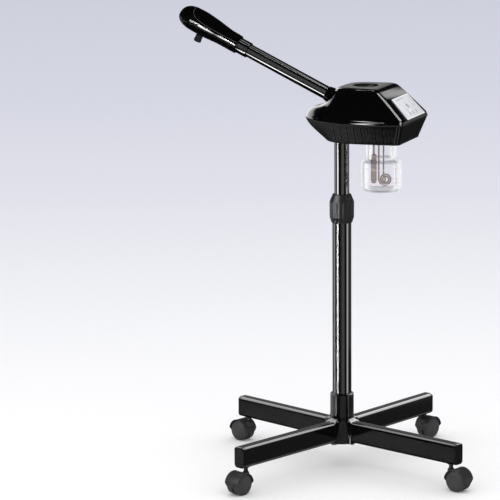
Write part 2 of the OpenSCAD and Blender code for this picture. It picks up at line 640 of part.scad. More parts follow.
// from the tilt pivot: +Z runs out along the arm, +X is its upper side
module on_arm() { translate(arm_pivot) rotate([0, arm_angle - 90, 0]) children(); }
module arm_knuckle() color(gloss_black) on_arm() difference() {
  union() {
    difference() {
      intersection() {
        sphere(r = 26);
        up(4.5 + 30) cube([80, 80, 60], center = true);
      }
      sphere(r = 23.4);
    }
    rotate_extrude() polygon([[0, 5], [10, 5], [14.2, 16], [14.2, 44], [0, 44]]);
    rotate_extrude() polygon([[13, 20], [19.9, 20], [18, 30], [16.8, 33], [16.05, 33],
      [16.05, 23], [13, 23]]);
    rotate([90, 0, 0]) cylinder(r = 10, h = 32.6, center = true, $fn = 48);
  }
  // a pin hole from each side
  rotate([90, 0, 0]) difference() {
    cylinder(r = pin_r + 0.06, h = 70, center = true, $fn = 48);
    cylinder(r = 5, h = 16, center = true, $fn = 48);
  }
  up(-1) cylinder(r = 7, h = 60, $fn = 48);
  up(-12) cylinder(r1 = 12, r2 = 7, h = 11, $fn = 48);
}
module arm_tube() color(gloss_black) on_arm() tube(arm_r, arm_r - 1.4, 23.1, arm_start + 268);
module arm_collar() color([0.06, 0.06, 0.065]) on_arm() difference() {
  rotate_extrude() polygon([for (p = [[0, 227], [17.6, 227], [18.75, 228], [18.75, 256.4],
    [0, 256.4]]) [p.x, arm_start + p.y]]);
  up(arm_start + 220) cylinder(r = arm_r + 0.02, h = 60);
}

// nozzle sections: arm station, upper radius, lower radius, half-width
NOZZLE = [
  [257, 22.4, 22, 21], [261, 22.8, 22, 21.2], [284, 23.8, 21.7, 21.6],
  [304, 26.5, 21.6, 22.6], [323, 29.5, 22.8, 24.2], [343, 31.9, 24, 25.5],
  [363, 33.4, 24, 26.4], [383, 33.1, 23.6, 26.4], [395, 31.4, 22, 25.4],
  [403, 28.9, 19.9, 23.4], [410, 25, 16.8, 20.2], [415, 20.2, 13.3, 16.4],
  [418.6, 14.5, 9.3, 11.6], [420.7, 7.5, 4.8, 5.8]];
function nozzle_ring(c, t) = let (
    station = c[0],
    z = arm_start + station - (station > 400 ? t*(station - 400)/20 : 0))
  [for (k = [0:27]) let (a = 360*k/28)
    [cos(a)*((cos(a) > 0 ? c[1] : c[2]) - t), sin(a)*(c[3] - t), z]];
// the wall is slightly thinner at the last section
module nozzle_body() ring_shell([for (c = NOZZLE) nozzle_ring(c, 0)],
  [for (c = NOZZLE) nozzle_ring(c, c[0] > 419 ? nozzle_t*0.98 : nozzle_t)], false);
// region of the nozzle's upper cover, drawn back by gap
module parting(gap) translate([0, 40, 0]) rotate([90, 0, 0]) linear_extrude(80)
  polygon([for (p = [[60, 250], [8 + gap, 250], [7.7 + gap, 295], [8.4 + gap, 328],
    [10.2 + gap, 351], [13 + gap, 369 - gap], [18 + gap, 381 - gap], [24.5, 387.5 - gap],
    [34, 388.5 - gap], [60, 388.5 - gap]]) [p.x, arm_start + p.y]]);
module nozzle_shell() color(gloss_black) on_arm() difference() {
  union() {
    nozzle_body();
    up(arm_start + 262) difference() {
      cylinder(r = 20, h = 5);
      up(-1) cylinder(r = arm_r + 0.1, h = 8);
    }
  }
  parting(0);
  translate([-40, 0, spout_z]) rotate([0, 90, 0]) cylinder(r = 7.4, h = 36, $fn = 48);
}
module nozzle_cover() color(gloss_black) on_arm() intersection() {
  nozzle_body();
  parting(0.3);
}
module nozzle_spout() color([0.05, 0.05, 0.055]) on_arm() up(spout_z) rotate([0, -90, 0])
  rotate_extrude($fn = 48) polygon([[5.2, 18], [7.3, 18], [7.3, 25], [8.6, 25.4], [8.6, 31],
    [7.9, 31.5], [7.9, 33.5], [9, 34], [9, 40.4], [8.4, 41], [5.2, 41]]);

place() base_hub();
place() leg_front_right();
place() leg_rear_right();
place() leg_rear_left();
place() leg_front_left();
place() leg_end_caps();
place() leg_bolts();
place() caster_sockets();
place() pole_bolt();
place() lower_pole();
place() collet_sleeve();
place() height_collar();
place() upper_pole();
place() slide_bush();
place() caster_stem_1();
place() caster_hood_1();
place() caster_axle_1();
place() caster_wheels_1();
place() caster_stem_2();
place() caster_hood_2();
place() caster_axle_2();
place() caster_wheels_2();
place() caster_stem_3();
place() caster_hood_3();
place() caster_axle_3();
place() caster_wheels_3();
place() caster_stem_4();
place() caster_hood_4();
place() caster_axle_4();
place() caster_wheels_4();
place() lower_housing();
place() upper_cover();
place() rim_seal();
place() housing_screws();
place() pole_socket();
place() arm_bracket();
place() pivot_pins();
place() boiler_head();
place() jar_seal();
place() heating_element();
place() level_sensor();
place() steam_pipe();
place() ozone_lamp();
place() control_panel();
place() control_board();
place() power_inlet();
place() jar_ring();
place() glass_jar();
place() aroma_basket();
place() top_cap();
place() power_button();
place() steam_button();
place() ozone_button();
place() timer_button();
place() arm_knuckle();
place() arm_tube();
place() arm_collar();
place() nozzle_shell();
place() nozzle_cover();
place() nozzle_spout();
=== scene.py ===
"""Facial steamer on a rolling stand.

Shapes are in millimetres about the column axis, +Z up, floor at Z = 0; piece() places them
in metres. -Y is the front and +X the right. The arm and nozzle rise towards -X, and the
control panel slopes down at the +X end of the head.
"""
import json
import math

import bpy
import bmesh
from mathutils import Matrix, Vector
from mathutils.bvhtree import BVHTree

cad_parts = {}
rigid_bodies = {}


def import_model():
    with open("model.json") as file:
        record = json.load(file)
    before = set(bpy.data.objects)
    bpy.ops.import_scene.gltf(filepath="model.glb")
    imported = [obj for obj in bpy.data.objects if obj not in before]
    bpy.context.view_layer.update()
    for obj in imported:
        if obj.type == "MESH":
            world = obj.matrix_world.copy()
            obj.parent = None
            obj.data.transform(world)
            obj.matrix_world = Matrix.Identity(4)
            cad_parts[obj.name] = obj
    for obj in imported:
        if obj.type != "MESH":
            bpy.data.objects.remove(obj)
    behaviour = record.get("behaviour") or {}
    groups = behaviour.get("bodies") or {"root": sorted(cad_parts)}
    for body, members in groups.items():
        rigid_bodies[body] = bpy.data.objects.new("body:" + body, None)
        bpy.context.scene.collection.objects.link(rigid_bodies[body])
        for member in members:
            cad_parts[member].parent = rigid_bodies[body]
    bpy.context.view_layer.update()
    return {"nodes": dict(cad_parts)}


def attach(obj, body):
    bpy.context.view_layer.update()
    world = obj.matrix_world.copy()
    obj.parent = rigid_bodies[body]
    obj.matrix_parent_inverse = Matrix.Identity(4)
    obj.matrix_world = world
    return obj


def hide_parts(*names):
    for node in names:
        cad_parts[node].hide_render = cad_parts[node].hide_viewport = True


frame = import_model()
rad, sin, cos, pi = math.radians, math.sin, math.cos, math.pi

# Smoothing level, which nothing below reads; every mesh below has a fixed density.
SMOOTH = 2

MM = 0.001
COLUMN_X, COLUMN_Y = 22.746, 4.549      # column axis from the frame's origin

# Legs and casters
LEG_ANGLES = [-21.0, 69.8, 156.4, 247.0]
LEG_REACH = [354.0, 338.0, 338.0, 354.0]
LEG_NAMES = ["leg_front_right", "leg_rear_right", "leg_rear_left", "leg_front_left"]
STEM_REACH = [reach - 23.0 for reach in LEG_REACH]
LEG_Z = 87                              # leg axis
LEG_WIDTH, LEG_HEIGHT, LEG_CORNER, LEG_WALL = 30, 50, 8, 1.8
WHEEL_OFFSET, WHEEL_RADIUS = 22, 25     # axle from the stem, tread from the axle

# Column
LOWER_TUBE, LOWER_BORE = 22.5, 20.7
UPPER_TUBE, UPPER_BORE = 17.5, 15.9
LOWER_TOP = 598

# Head
HULL_RIM_Z, COVER_RIM_Z = 841, 843
HULL_FLOOR_Z = 792
HEAD_WALL = 2.5
SCREWS = ((-10, 34), (-10, -34), (152, 67), (152, -67))
CAP_X, JAR_X = 60, 98                   # top opening and jar axes
ARM_PIVOT = (-6.64, 0, 882.5)
ARM_RISE = 25.5                         # degrees above the horizontal
NOZZLE_START = 22.0                     # zero of the nozzle stations along the arm


# ------------------------------------------------------------------ shape tools
# A part is (points, faces). A profile is a list of (radius, z) or (x, y) points.
def mix(a, b, t):
    return a + (b - a) * t


def smooth01(t):
    t = max(0.0, min(1.0, t))
    return t * t * (3 - 2 * t)


def bezier(a, b, c, d, t):
    return a * (1 - t) ** 3 + 3 * b * (1 - t) ** 2 * t + 3 * c * (1 - t) * t * t + d * t ** 3


def arc(radius, degrees, x=0, y=0):
    return [(x + radius * cos(rad(d)), y + radius * sin(rad(d))) for d in degrees]


def rounded(points, closed=False, seg=5):
    """Rounds the corners of a line of points (x, y, radius)."""
    out, count = [], len(points)
    for i, point in enumerate(points):
        radius = point[2] if len(point) > 2 else 0
        if radius <= 0 or (not closed and i in (0, count - 1)):
            out.append((point[0], point[1]))
            continue
        corner = Vector(point[:2])
        back = Vector(points[i - 1][:2]) - corner
        ahead = Vector(points[(i + 1) % count][:2]) - corner
        back_length, ahead_length = back.length, ahead.length
        back.normalize()
        ahead.normalize()
        angle = math.acos(max(-1, min(1, back.dot(ahead))))
        if angle > pi - 0.02 or angle < 0.02:
            out.append((point[0], point[1]))
            continue
        trim = min(radius / math.tan(angle / 2), 0.48 * back_length, 0.48 * ahead_length)
        fitted = trim * math.tan(angle / 2)
        centre = corner + (back + ahead).normalized() * (fitted / sin(angle / 2))
        start, end = corner + back * trim - centre, corner + ahead * trim - centre
        first, last = math.atan2(start.y, start.x), math.atan2(end.y, end.x)
        turn_by = (last - first + pi) % (2 * pi) - pi
        for k in range(seg + 1):
            a = first + turn_by * k / seg
            out.append((centre.x + fitted * cos(a), centre.y + fitted * sin(a)))
    return out


def rounded_box(width, height, radius, seg=6):
    x, y = width / 2, height / 2
    return rounded([(x, y, radius), (-x, y, radius), (-x, -y, radius), (x, -y, radius)],
                   True, seg)


def revolve(profile, count, closed=False, reshape=None, span=360.0):
    """Turns a profile about Z; reshape(radius, z, angle) may vary it round the axis."""
    points, faces, rows = [], [], len(profile)
    full = span >= 359.9
    columns = count if full else count + 1
    for k in range(columns):
        a = rad(span) * k / count
        for q in profile:
            r, z = reshape(q[0], q[1], a) if reshape else q[:2]
            points.append((r * cos(a), r * sin(a), z))
    for k in range(count):
        k2 = (k + 1) % columns
        for i in range(rows if closed else rows - 1):
            j = (i + 1) % rows
            faces.append((k * rows + i, k2 * rows + i, k2 * rows + j, k * rows + j))
    if not full:
        faces.append(tuple(range(rows)))
        faces.append(tuple(count * rows + i for i in reversed(range(rows))))
    return points, faces


def turned(points, count, seg=5):
    """Solid of revolution from an open profile that starts and ends on the axis."""
    return revolve(rounded(points, seg=seg), count)


def turned_ring(points, count, seg=5):
    """Hollow ring of revolution from a closed profile."""
    return revolve(rounded(points, True, seg), count, True)


def cylinder(radius, z0, z1, count):
    return revolve([(0, z0), (radius, z0), (radius, z1), (0, z1)], count)


def tube(inner, outer, z0, z1, count, span=360.0):
    profile = [(inner, z0), (outer, z0), (outer, z1), (inner, z1)]
    return revolve(profile, count, True, span=span)


def loft(rings, start_cap=True, end_cap=True):
    points, faces = [tuple(p) for ring in rings for p in ring], []
    n = len(rings[0])
    for k in range(len(rings) - 1):
        for i in range(n):
            j = (i + 1) % n
            faces.append((k * n + i, k * n + j, (k + 1) * n + j, (k + 1) * n + i))
    if start_cap:
        faces.append(tuple(reversed(range(n))))
    if end_cap:
        faces.append(tuple((len(rings) - 1) * n + i for i in range(n)))
    return points, faces


def loop_loft(rings):
    """Loft whose last ring joins back to the first."""
    points, faces = loft(rings, False, False)
    n, last = len(rings[0]), (len(rings) - 1) * len(rings[0])
    faces += [(last + i, last + (i + 1) % n, (i + 1) % n, i) for i in range(n)]
    return points, faces


def cup(outer, inner):
    """Two lofts closed at their far ends and joined along their first rings."""
    points, faces = loft(outer, False, True)
    inner_points, inner_faces = loft(inner, False, True)
    n, base = len(inner[0]), len(points)
    faces += [tuple(i + base for i in reversed(face)) for face in inner_faces]
    faces += [(i, base + i, base + (i + 1) % n, (i + 1) % n) for i in range(n)]
    return points + inner_points, faces


def sweep(path, radius, seg):
    """Round rod along a path of points."""
    path, rings = [Vector(p) for p in path], []
    for i, p in enumerate(path):
        along = (path[min(len(path) - 1, i + 1)] - path[max(0, i - 1)]).normalized()
        side = along.cross(Vector((0, 0, 1))).normalized()
        up = along.cross(side)
        rings.append([tuple(p + radius * (side * cos(2 * pi * k / seg)
                                          + up * sin(2 * pi * k / seg))) for k in range(seg)])
    return loft(rings)


def extrude(outline, z0, z1, bevel=0.0, seg=3, hole=None):
    """Bar or plate from an outline in XY with rounded ends; a hole has as many points."""
    def rings(line, sign):
        n = len(line)
        centre_x, centre_y = sum(p[0] for p in line) / n, sum(p[1] for p in line) / n
        normals = []
        for i in range(n):
            along = Vector(line[(i + 1) % n]) - Vector(line[i - 1])
            normal = Vector((along.y, -along.x))
            normal.normalize()
            if normal.dot(Vector((line[i][0] - centre_x, line[i][1] - centre_y))) < 0:
                normal = -normal
            normals.append(normal)
        levels = [(z0, 0), (z1, 0)]
        if bevel > 0:
            steps = [pi / 2 * k / seg for k in range(seg + 1)]
            levels = [(z0 + bevel * (1 - cos(a)), sign * bevel * (1 - sin(a))) for a in steps]
            levels += [(z1 - bevel * (1 - cos(a)), sign * bevel * (1 - sin(a)))
                       for a in reversed(steps)]
        return [[(p[0] - m.x * d, p[1] - m.y * d, z) for p, m in zip(line, normals)]
                for z, d in levels]
    if hole is None:
        return loft(rings(outline, 1))
    return loop_loft(rings(outline, 1) + rings(hole, -1)[::-1])


def join(*parts):
    points, faces = [], []
    for part_points, part_faces in parts:
        base = len(points)
        points += list(part_points)
        faces += [tuple(i + base for i in face) for face in part_faces]
    return points, faces


def moved(part, matrix):
    return [tuple(matrix @ Vector(p)) for p in part[0]], part[1]


def shift(x=0, y=0, z=0):
    return Matrix.Translation((x, y, z))


def turn(degrees, axis):
    return Matrix.Rotation(rad(degrees), 4, axis)


def smooth_rows(rows, step, keys):
    """Smooth levels through a table, spaced by how far the key columns move."""
    place = [0.0]
    for a, b in zip(rows, rows[1:]):
        place.append(place[-1] + math.sqrt(sum((b[i] - a[i]) ** 2 for i in keys)))
    n, width = len(rows), len(rows[0])

    def slope(i, c):
        s = [(rows[k + 1][c] - rows[k][c]) / (place[k + 1] - place[k])
             for k in range(max(0, i - 1), min(n - 1, i + 1))]
        if len(s) == 1:
            return s[0]
        if s[0] * s[1] <= 0:
            return 0.0
        ahead, behind = place[i + 1] - place[i], place[i] - place[i - 1]
        mean = (s[0] * ahead + s[1] * behind) / (ahead + behind)
        limit = 3 * min(abs(s[0]), abs(s[1]))
        return max(-limit, min(limit, mean))

    out = []
    for k in range(n - 1):
        h = place[k + 1] - place[k]
        count = max(2, int(math.ceil(h / step)))
        start = [slope(k, c) for c in range(width)]
        end = [slope(k + 1, c) for c in range(width)]
        for j in range(count):
            t = j / count
            a, b = 2 * t ** 3 - 3 * t * t + 1, t ** 3 - 2 * t * t + t
            c, d = -2 * t ** 3 + 3 * t * t, t ** 3 - t * t
            out.append([a * rows[k][i] + b * h * start[i] + c * rows[k + 1][i] + d * h * end[i]
                        for i in range(width)])
    return out + [list(rows[-1])]


# ------------------------------------------------------------------ object tools
def add_object(name, data):
    ob = bpy.data.objects.new(name, data)
    bpy.context.scene.collection.objects.link(ob)
    return ob


def piece(name, part, body=None, node_name=None, material=None, sharp=35):
    """Mesh object from a part, riding a body of the frame and replacing one of its nodes."""
    mesh = bpy.data.meshes.new(name)
    points = [((x + COLUMN_X) * MM, (y + COLUMN_Y) * MM, z * MM) for x, y, z in part[0]]
    mesh.from_pydata(points, [], part[1])
    bm = bmesh.new()
    bm.from_mesh(mesh)
    bmesh.ops.remove_doubles(bm, verts=bm.verts, dist=2e-6)
    bmesh.ops.recalc_face_normals(bm, faces=bm.faces)
    bm.to_mesh(mesh)
    bm.free()
    mesh.shade_smooth()
    mesh.set_sharp_from_angle(angle=rad(sharp))
    ob = add_object(name, mesh)
    if body:
        mesh.materials.append(material)
        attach(ob, body)
        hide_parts(node_name)
    return ob


def cut(ob, part, operation="DIFFERENCE"):
    """Boolean with a temporary cutter, applied at once."""
    cutter = piece("cutter", part)
    modifier = ob.modifiers.new("cut", "BOOLEAN")
    modifier.operation, modifier.object, modifier.solver = operation, cutter, "EXACT"
    graph = bpy.context.evaluated_depsgraph_get()
    mesh = bpy.data.meshes.new_from_object(ob.evaluated_get(graph))
    ob.modifiers.remove(modifier)
    old, cutter_mesh = ob.data, cutter.data
    ob.data = mesh
    bpy.data.meshes.remove(old)
    bpy.data.objects.remove(cutter)
    bpy.data.meshes.remove(cutter_mesh)
    mesh.shade_smooth()


def barycentric(p, a, b, c):
    v0, v1, v2 = b - a, c - a, p - a
    d00, d01, d11, d20, d21 = v0.dot(v0), v0.dot(v1), v1.dot(v1), v2.dot(v0), v2.dot(v1)
    area = d00 * d11 - d01 * d01
    if abs(area) < 1e-20:
        return 1, 0, 0
    v = (d11 * d20 - d01 * d21) / area
    w = (d00 * d21 - d01 * d20) / area
    return 1 - v - w, v, w


def cut_smoothly(ob, cutters, angle, operation="DIFFERENCE"):
    """Cuts a surface and keeps the smooth shading it had before."""
    mesh = ob.data
    mesh.calc_loop_triangles()
    old_normals = [tuple(c.vector) for c in mesh.corner_normals]
    triangles = [tuple(t.vertices) for t in mesh.loop_triangles]
    corners = [tuple(t.loops) for t in mesh.loop_triangles]
    points = [v.co.copy() for v in mesh.vertices]
    tree = BVHTree.FromPolygons(points, triangles)
    for cutter in cutters:
        cut(ob, cutter, operation)
    mesh = ob.data
    normals = []
    for face in mesh.polygons:
        for loop in face.loop_indices:
            p = mesh.vertices[mesh.loops[loop].vertex_index].co
            probe = p + (face.center - p) * 0.02
            place, _, index, _ = tree.find_nearest(probe)
            normal = face.normal
            if place is not None and (place - probe).length < 3e-5:
                w = barycentric(place, *(points[k] for k in triangles[index]))
                a, b, c = (Vector(old_normals[k]) for k in corners[index])
                old = a * w[0] + b * w[1] + c * w[2]
                if old.length > 1e-6 and old.normalized().dot(normal) > cos(rad(angle)):
                    normal = old.normalized()
            normals.append(tuple(normal))
    mesh.shade_smooth()
    mesh.normals_split_custom_set(normals)


def weight_normals(ob):
    modifier = ob.modifiers.new("normals", "WEIGHTED_NORMAL")
    modifier.keep_sharp = True
    modifier.weight = 60


# ------------------------------------------------------------------ shader tools
def feed(tree, target, inputs):
    """Sets each named input, or links it where the value is a socket."""
    for key, value in inputs.items():
        if isinstance(value, bpy.types.NodeSocket):
            tree.links.new(value, target.inputs[key])
        else:
            target.inputs[key].default_value = value


def node(tree, kind, inputs=None, **properties):
    new = tree.nodes.new(kind)
    for key, value in properties.items():
        setattr(new, key, value)
    feed(tree, new, inputs or {})
    return new


def principled(name):
    material = bpy.data.materials.new(name)
    material.use_nodes = True
    tree = material.node_tree
    return material, tree, tree.nodes["Principled BSDF"]


def blank_material(name):
    material = bpy.data.materials.new(name)
    material.use_nodes = True
    tree = material.node_tree
    tree.nodes.clear()
    return material, tree, tree.nodes.new("ShaderNodeOutputMaterial")


def coords(tree, scale=(1.0, 1.0, 1.0)):
    place = tree.nodes.new("ShaderNodeTexCoord").outputs["Object"]
    return node(tree, "ShaderNodeMapping", {"Scale": scale, "Vector": place}).outputs["Vector"]


def noise(tree, vector, scale, detail=4, rough=0.55):
    return node(tree, "ShaderNodeTexNoise", {"Scale": scale, "Detail": detail,
                "Roughness": rough, "Vector": vector}).outputs["Fac"]


def ramp(tree, factor, stops):
    """Colour ramp; each stop is (position, grey or rgb)."""
    new = tree.nodes.new("ShaderNodeValToRGB")
    elements = new.color_ramp.elements
    while len(elements) < len(stops):
        elements.new(0.5)
    for element, (position, c) in zip(elements, stops):
        element.position = position
        element.color = (c, c, c, 1) if isinstance(c, (int, float)) else (*c, 1)
    tree.links.new(factor, new.inputs["Fac"])
    return new.outputs["Color"]


def mix_color(tree, factor, color1, color2):
    return node(tree, "ShaderNodeMixRGB",
                {"Fac": factor, "Color1": color1, "Color2": color2}).outputs["Color"]


def bump(tree, height, strength, distance, normal=None):
    inputs = {"Strength": strength, "Distance": distance, "Height": height}
    if normal is not None:
        inputs["Normal"] = normal
    return node(tree, "ShaderNodeBump", inputs).outputs["Normal"]


def scaled(color, factor):
    return tuple(c * factor for c in color) + (1,)


# ------------------------------------------------------------------ materials
def gloss(name, base, rough=0.085, coat=1.0, peel=0.04, peel_scale=260):
    """High-gloss black: clear coat, a trace of orange peel, marks in the roughness."""
    material, tree, shader = principled(name)
    place = coords(tree)
    clouds = noise(tree, place, scale=14, detail=3)
    fine = noise(tree, place, peel_scale, detail=2)
    smear = noise(tree, place, scale=60, detail=5, rough=0.7)
    normal = bump(tree, fine, peel, distance=0.0004)
    feed(tree, shader, {
        "Base Color": mix_color(tree, ramp(tree, clouds, [(0.35, 0.0), (0.8, 0.6)]),
                                (*base, 1), scaled(base, 1.9)),
        "Roughness": ramp(tree, smear, [(0.3, rough * 0.75), (0.7, rough * 1.4)]),
        "Specular IOR Level": 0.0,
        "Coat Weight": coat,
        "Coat Roughness": rough * 0.5,
        "Coat IOR": 1.5,
        "Normal": normal})
    if peel > 0.03:
        tree.links.new(normal, shader.inputs["Coat Normal"])
    return material


def satin(name, base, rough=0.42, grain=0.18, tint=0.4, spec=0.45):
    """Moulded satin plastic: fine spark-eroded grain; sharp convex edges painted paler, a
    painted edge highlight.
    """
    grain_scale = 900
    material, tree, shader = principled(name)
    place = coords(tree)
    clouds = noise(tree, place, scale=22)
    cells = node(tree, "ShaderNodeTexVoronoi", {"Scale": grain_scale, "Vector": place})
    fine = noise(tree, place, grain_scale * 0.8, detail=3)
    color = mix_color(tree, ramp(tree, clouds, [(0.3, 0.0), (0.75, 1.0)]),
                      (*base, 1), scaled(base, 1 + tint))
    # Painted edge highlight: convex edges found by pointiness get a paler colour.
    edges = tree.nodes.new("ShaderNodeNewGeometry").outputs["Pointiness"]
    edge_highlight_color = tuple(min(1, c * 1.7 + 0.02) for c in base) + (1,)
    cell_bump = bump(tree, cells.outputs["Distance"], grain * 0.6, distance=0.0003)
    feed(tree, shader, {
        "Base Color": mix_color(tree, ramp(tree, edges, [(0.5, 0.0), (0.56, 1.0)]),
                                color, edge_highlight_color),
        "Roughness": ramp(tree, clouds, [(0.3, rough * 0.85), (0.7, rough * 1.15)]),
        "Specular IOR Level": spec,
        "Coat Roughness": 0.1,
        "Normal": bump(tree, fine, grain, distance=0.0003, normal=cell_bump)})
    return material


def metal(name, base, rough):
    """Metal with a fine grain drawn out along one axis."""
    material, tree, shader = principled(name)
    grain = noise(tree, coords(tree, (1, 1, 30)), scale=60, detail=5, rough=0.7)
    clouds = noise(tree, coords(tree), scale=30)
    feed(tree, shader, {
        "Base Color": mix_color(tree, clouds, scaled(base, 1 - 0.15), (*base, 1)),
        "Metallic": 1,
        "Roughness": ramp(tree, grain, [(0.3, rough * 0.7), (0.75, rough * 1.35)]),
        "Normal": bump(tree, grain, strength=0.08, distance=0.0003)})
    return material


def glass(name, tint, edge):
    """Thin clear glass: see-through face-on, brighter and denser where it turns away."""
    material, tree, output = blank_material(name)
    ripple = noise(tree, coords(tree), scale=40, detail=3)
    mirror = node(tree, "ShaderNodeBsdfGlossy", {
        "Roughness": 0.02, "Color": (1, 1, 1, 1),
        "Normal": bump(tree, ripple, strength=0.05, distance=0.001)})
    facing = node(tree, "ShaderNodeLayerWeight", {"Blend": 0.22}).outputs["Facing"]
    density = ramp(tree, facing, [(0.0, tint),
                                  (0.7, tuple(c * 0.99 for c in tint)),
                                  (0.93, tuple(c * (1 - edge * 0.45) for c in tint)),
                                  (1.0, tuple(c * (1 - edge) for c in tint))])
    clear = node(tree, "ShaderNodeBsdfTransparent", {"Color": density})
    fresnel = node(tree, "ShaderNodeFresnel", {"IOR": 1.48}).outputs["Fac"]
    share = node(tree, "ShaderNodeMath", {0: fresnel, 1: 0.45}, operation="MULTIPLY")
    blend = node(tree, "ShaderNodeMixShader", {
        "Fac": share.outputs[0], 1: clear.outputs[0], 2: mirror.outputs[0]})
    feed(tree, output, {"Surface": blend.outputs[0]})
    return material


GLOSS = gloss("piano_black", (0.0012, 0.0012, 0.0014), peel=0.02)
PAINT = gloss("black_enamel", (0.0015, 0.0015, 0.0018), peel=0.004, peel_scale=200)
CAST = gloss("black_powder_gloss", (0.002, 0.002, 0.0023), rough=0.12, coat=0.9, peel=0.08,
             peel_scale=380)
SATIN = satin("satin_black", (0.012, 0.012, 0.0125), spec=0.3)
COLLAR = satin("ribbed_satin_black", (0.016, 0.016, 0.017), rough=0.30, grain=0.10, spec=0.22)
WHEEL = satin("wheel_grey", (0.042, 0.042, 0.044), rough=0.40, grain=0.10, spec=0.3)
HOOD = satin("hood_black", (0.018, 0.018, 0.019), rough=0.36, grain=0.12, spec=0.35)
STEEL = metal("zinc_steel", (0.55, 0.55, 0.56), rough=0.3)
DARK_STEEL = metal("black_oxide_steel", (0.05, 0.05, 0.055), rough=0.35)
STAINLESS = metal("stainless", (0.50, 0.45, 0.43), rough=0.2)
WHITE = satin("natural_moulding", (0.62, 0.62, 0.6), rough=0.4, tint=0.06)
GLASS = glass("clear_glass", tint=(0.993, 0.994, 0.996), edge=0.42)
LAMP = glass("lamp_glass", tint=(0.8, 0.84, 0.96), edge=0.5)
BOARD = satin("solder_mask_green", (0.01, 0.12, 0.05), rough=0.3, tint=0.5)
SILVER = satin("silver_overlay", (0.50, 0.51, 0.54), rough=0.32, grain=0.04, tint=0.06,
               spec=0.25)
HOUSING = satin("housing_satin_black", (0.0022, 0.0022, 0.0024), rough=0.36, grain=0.10,
                tint=0.3, spec=0.12)
# Paler satin for thin lines that carry painted highlights: hull corner beads, top cap divider,
# nozzle parting bead.
PAINTED_HIGHLIGHT = satin("housing_edge_satin", (0.045, 0.045, 0.047), rough=0.30, grain=0.05, tint=0.1,
             spec=0.4)
LIP = satin("lip_black", (0.004, 0.004, 0.004), rough=0.5, grain=0.05)
CAP = satin("cap_black", (0.002, 0.002, 0.002), rough=0.35, grain=0.05)
BORDER = satin("panel_border_white", (0.86, 0.87, 0.88), rough=0.3, grain=0.02, tint=0.02)
PRINT = satin("panel_print_grey", (0.20, 0.21, 0.24), rough=0.4, grain=0.02, tint=0.05)
KEY_PRINT = satin("key_print_dark", (0.05, 0.055, 0.065), rough=0.4, grain=0.02, tint=0.05)
SILVER_KEY = satin("silver_key", (0.50, 0.51, 0.545), rough=0.34, grain=0.04, tint=0.05)
RED_LINE = satin("level_line_red", (0.72, 0.46, 0.46), rough=0.4, grain=0.02)
COIL = satin("coil_tube", (0.20, 0.15, 0.135), rough=0.3, grain=0.2, tint=0.3, spec=0.6)
PROBE = satin("probe_steel", (0.26, 0.215, 0.205), rough=0.35, grain=0.3, tint=0.4, spec=0.6)
SEAL = satin("silicone_ring", (0.66, 0.62, 0.56), rough=0.5, tint=0.05)
# Spare finishes that no piece wears.
satin("seal_rubber", (0.012, 0.012, 0.012), rough=0.6)
satin("key_grey", (0.06, 0.065, 0.075), rough=0.4)

# ------------------------------------------------------------------ base hub
# (z, radius) of the round body between the leg sockets
HUB_PROFILE = [
    (58, 35.6), (58.6, 36.6), (60, 37.0), (66, 36.7), (74, 35.9), (84, 34.4), (94, 32.9),
    (104, 31.4), (112, 30.6), (117, 29.8), (122, 28.9), (127, 28.2), (131, 28.0), (150, 28.0),
    (170, 28.0), (174.4, 28.0), (175.6, 27.8), (176.7, 27.2), (177.4, 26.2), (177.5, 24.6)]
HUB_BORE = 22.56


def hub_ring(z, radius, angles):
    """Hub section: the round body blended into four short square-ended arms."""
    length = 41.0 - 15.5 * smooth01((z - 110) / 9.0)
    half_width = max(3, 15.45 - 1.2 * max(0, z - 112.3))
    blend = 5.0
    ring = []
    for a in angles:
        r = radius
        for leg in LEG_ANGLES if z < 121.5 else ():
            off = abs((a - rad(leg) + pi) % (2 * pi) - pi)
            if off < rad(44):
                arm = min(length / cos(off), half_width / max(1e-6, sin(off)))
                near = max(blend - abs(r - arm), 0) / blend
                r = max(r, arm) + near * near * blend * 0.25
        ring.append((r * cos(a), r * sin(a), z))
    return ring


def leg_frame(degrees):
    """Frame with Z outward along a leg."""
    return turn(degrees, "Z") @ shift(0, 0, LEG_Z) @ turn(90, "Y") @ turn(90, "Z")


hub_levels = []
for (z0, r0), (z1, r1) in zip(HUB_PROFILE, HUB_PROFILE[1:]):
    steps = max(1, int((z1 - z0) / (2.0 if z1 < 130 else 10)))
    hub_levels += [(mix(z0, z1, i / steps), mix(r0, r1, i / steps)) for i in range(steps)]
hub_levels.append(HUB_PROFILE[-1])
hub_angles = [rad(leg + off) for leg in LEG_ANGLES
              for off in [-45, -38, -33, *range(-31, 32), 33, 38]]
hub_rings = [hub_ring(z, r, hub_angles) for z, r in hub_levels]
hub_rings += [[(HUB_BORE * cos(a), HUB_BORE * sin(a), z) for a in hub_angles]
              for z in (177.4, 71.9)]
hub = piece("base_hub_casting", loft(hub_rings), "base", "base_hub",
            CAST, sharp=38)
for angle in LEG_ANGLES:
    cut(hub, moved(extrude(rounded_box(30.1, 50.1, 8.05, 6), 26, 70), leg_frame(angle)))
hub.data.set_sharp_from_angle(angle=rad(38))
weight_normals(hub)

# ------------------------------------------------------------------ legs
leg_outline = rounded_box(LEG_WIDTH, LEG_HEIGHT, LEG_CORNER, 8)
leg_bore = rounded_box(LEG_WIDTH - 2 * LEG_WALL, LEG_HEIGHT - 2 * LEG_WALL,
                       LEG_CORNER - LEG_WALL, 8)
for name, angle, reach in zip(LEG_NAMES, LEG_ANGLES, LEG_REACH):
    leg = extrude(leg_outline, 24.7, reach - 7.2, 0.4, 2, leg_bore)
    weight_normals(piece(name + "_tube", moved(leg, leg_frame(angle)), "base", name,
                         PAINT, sharp=50))

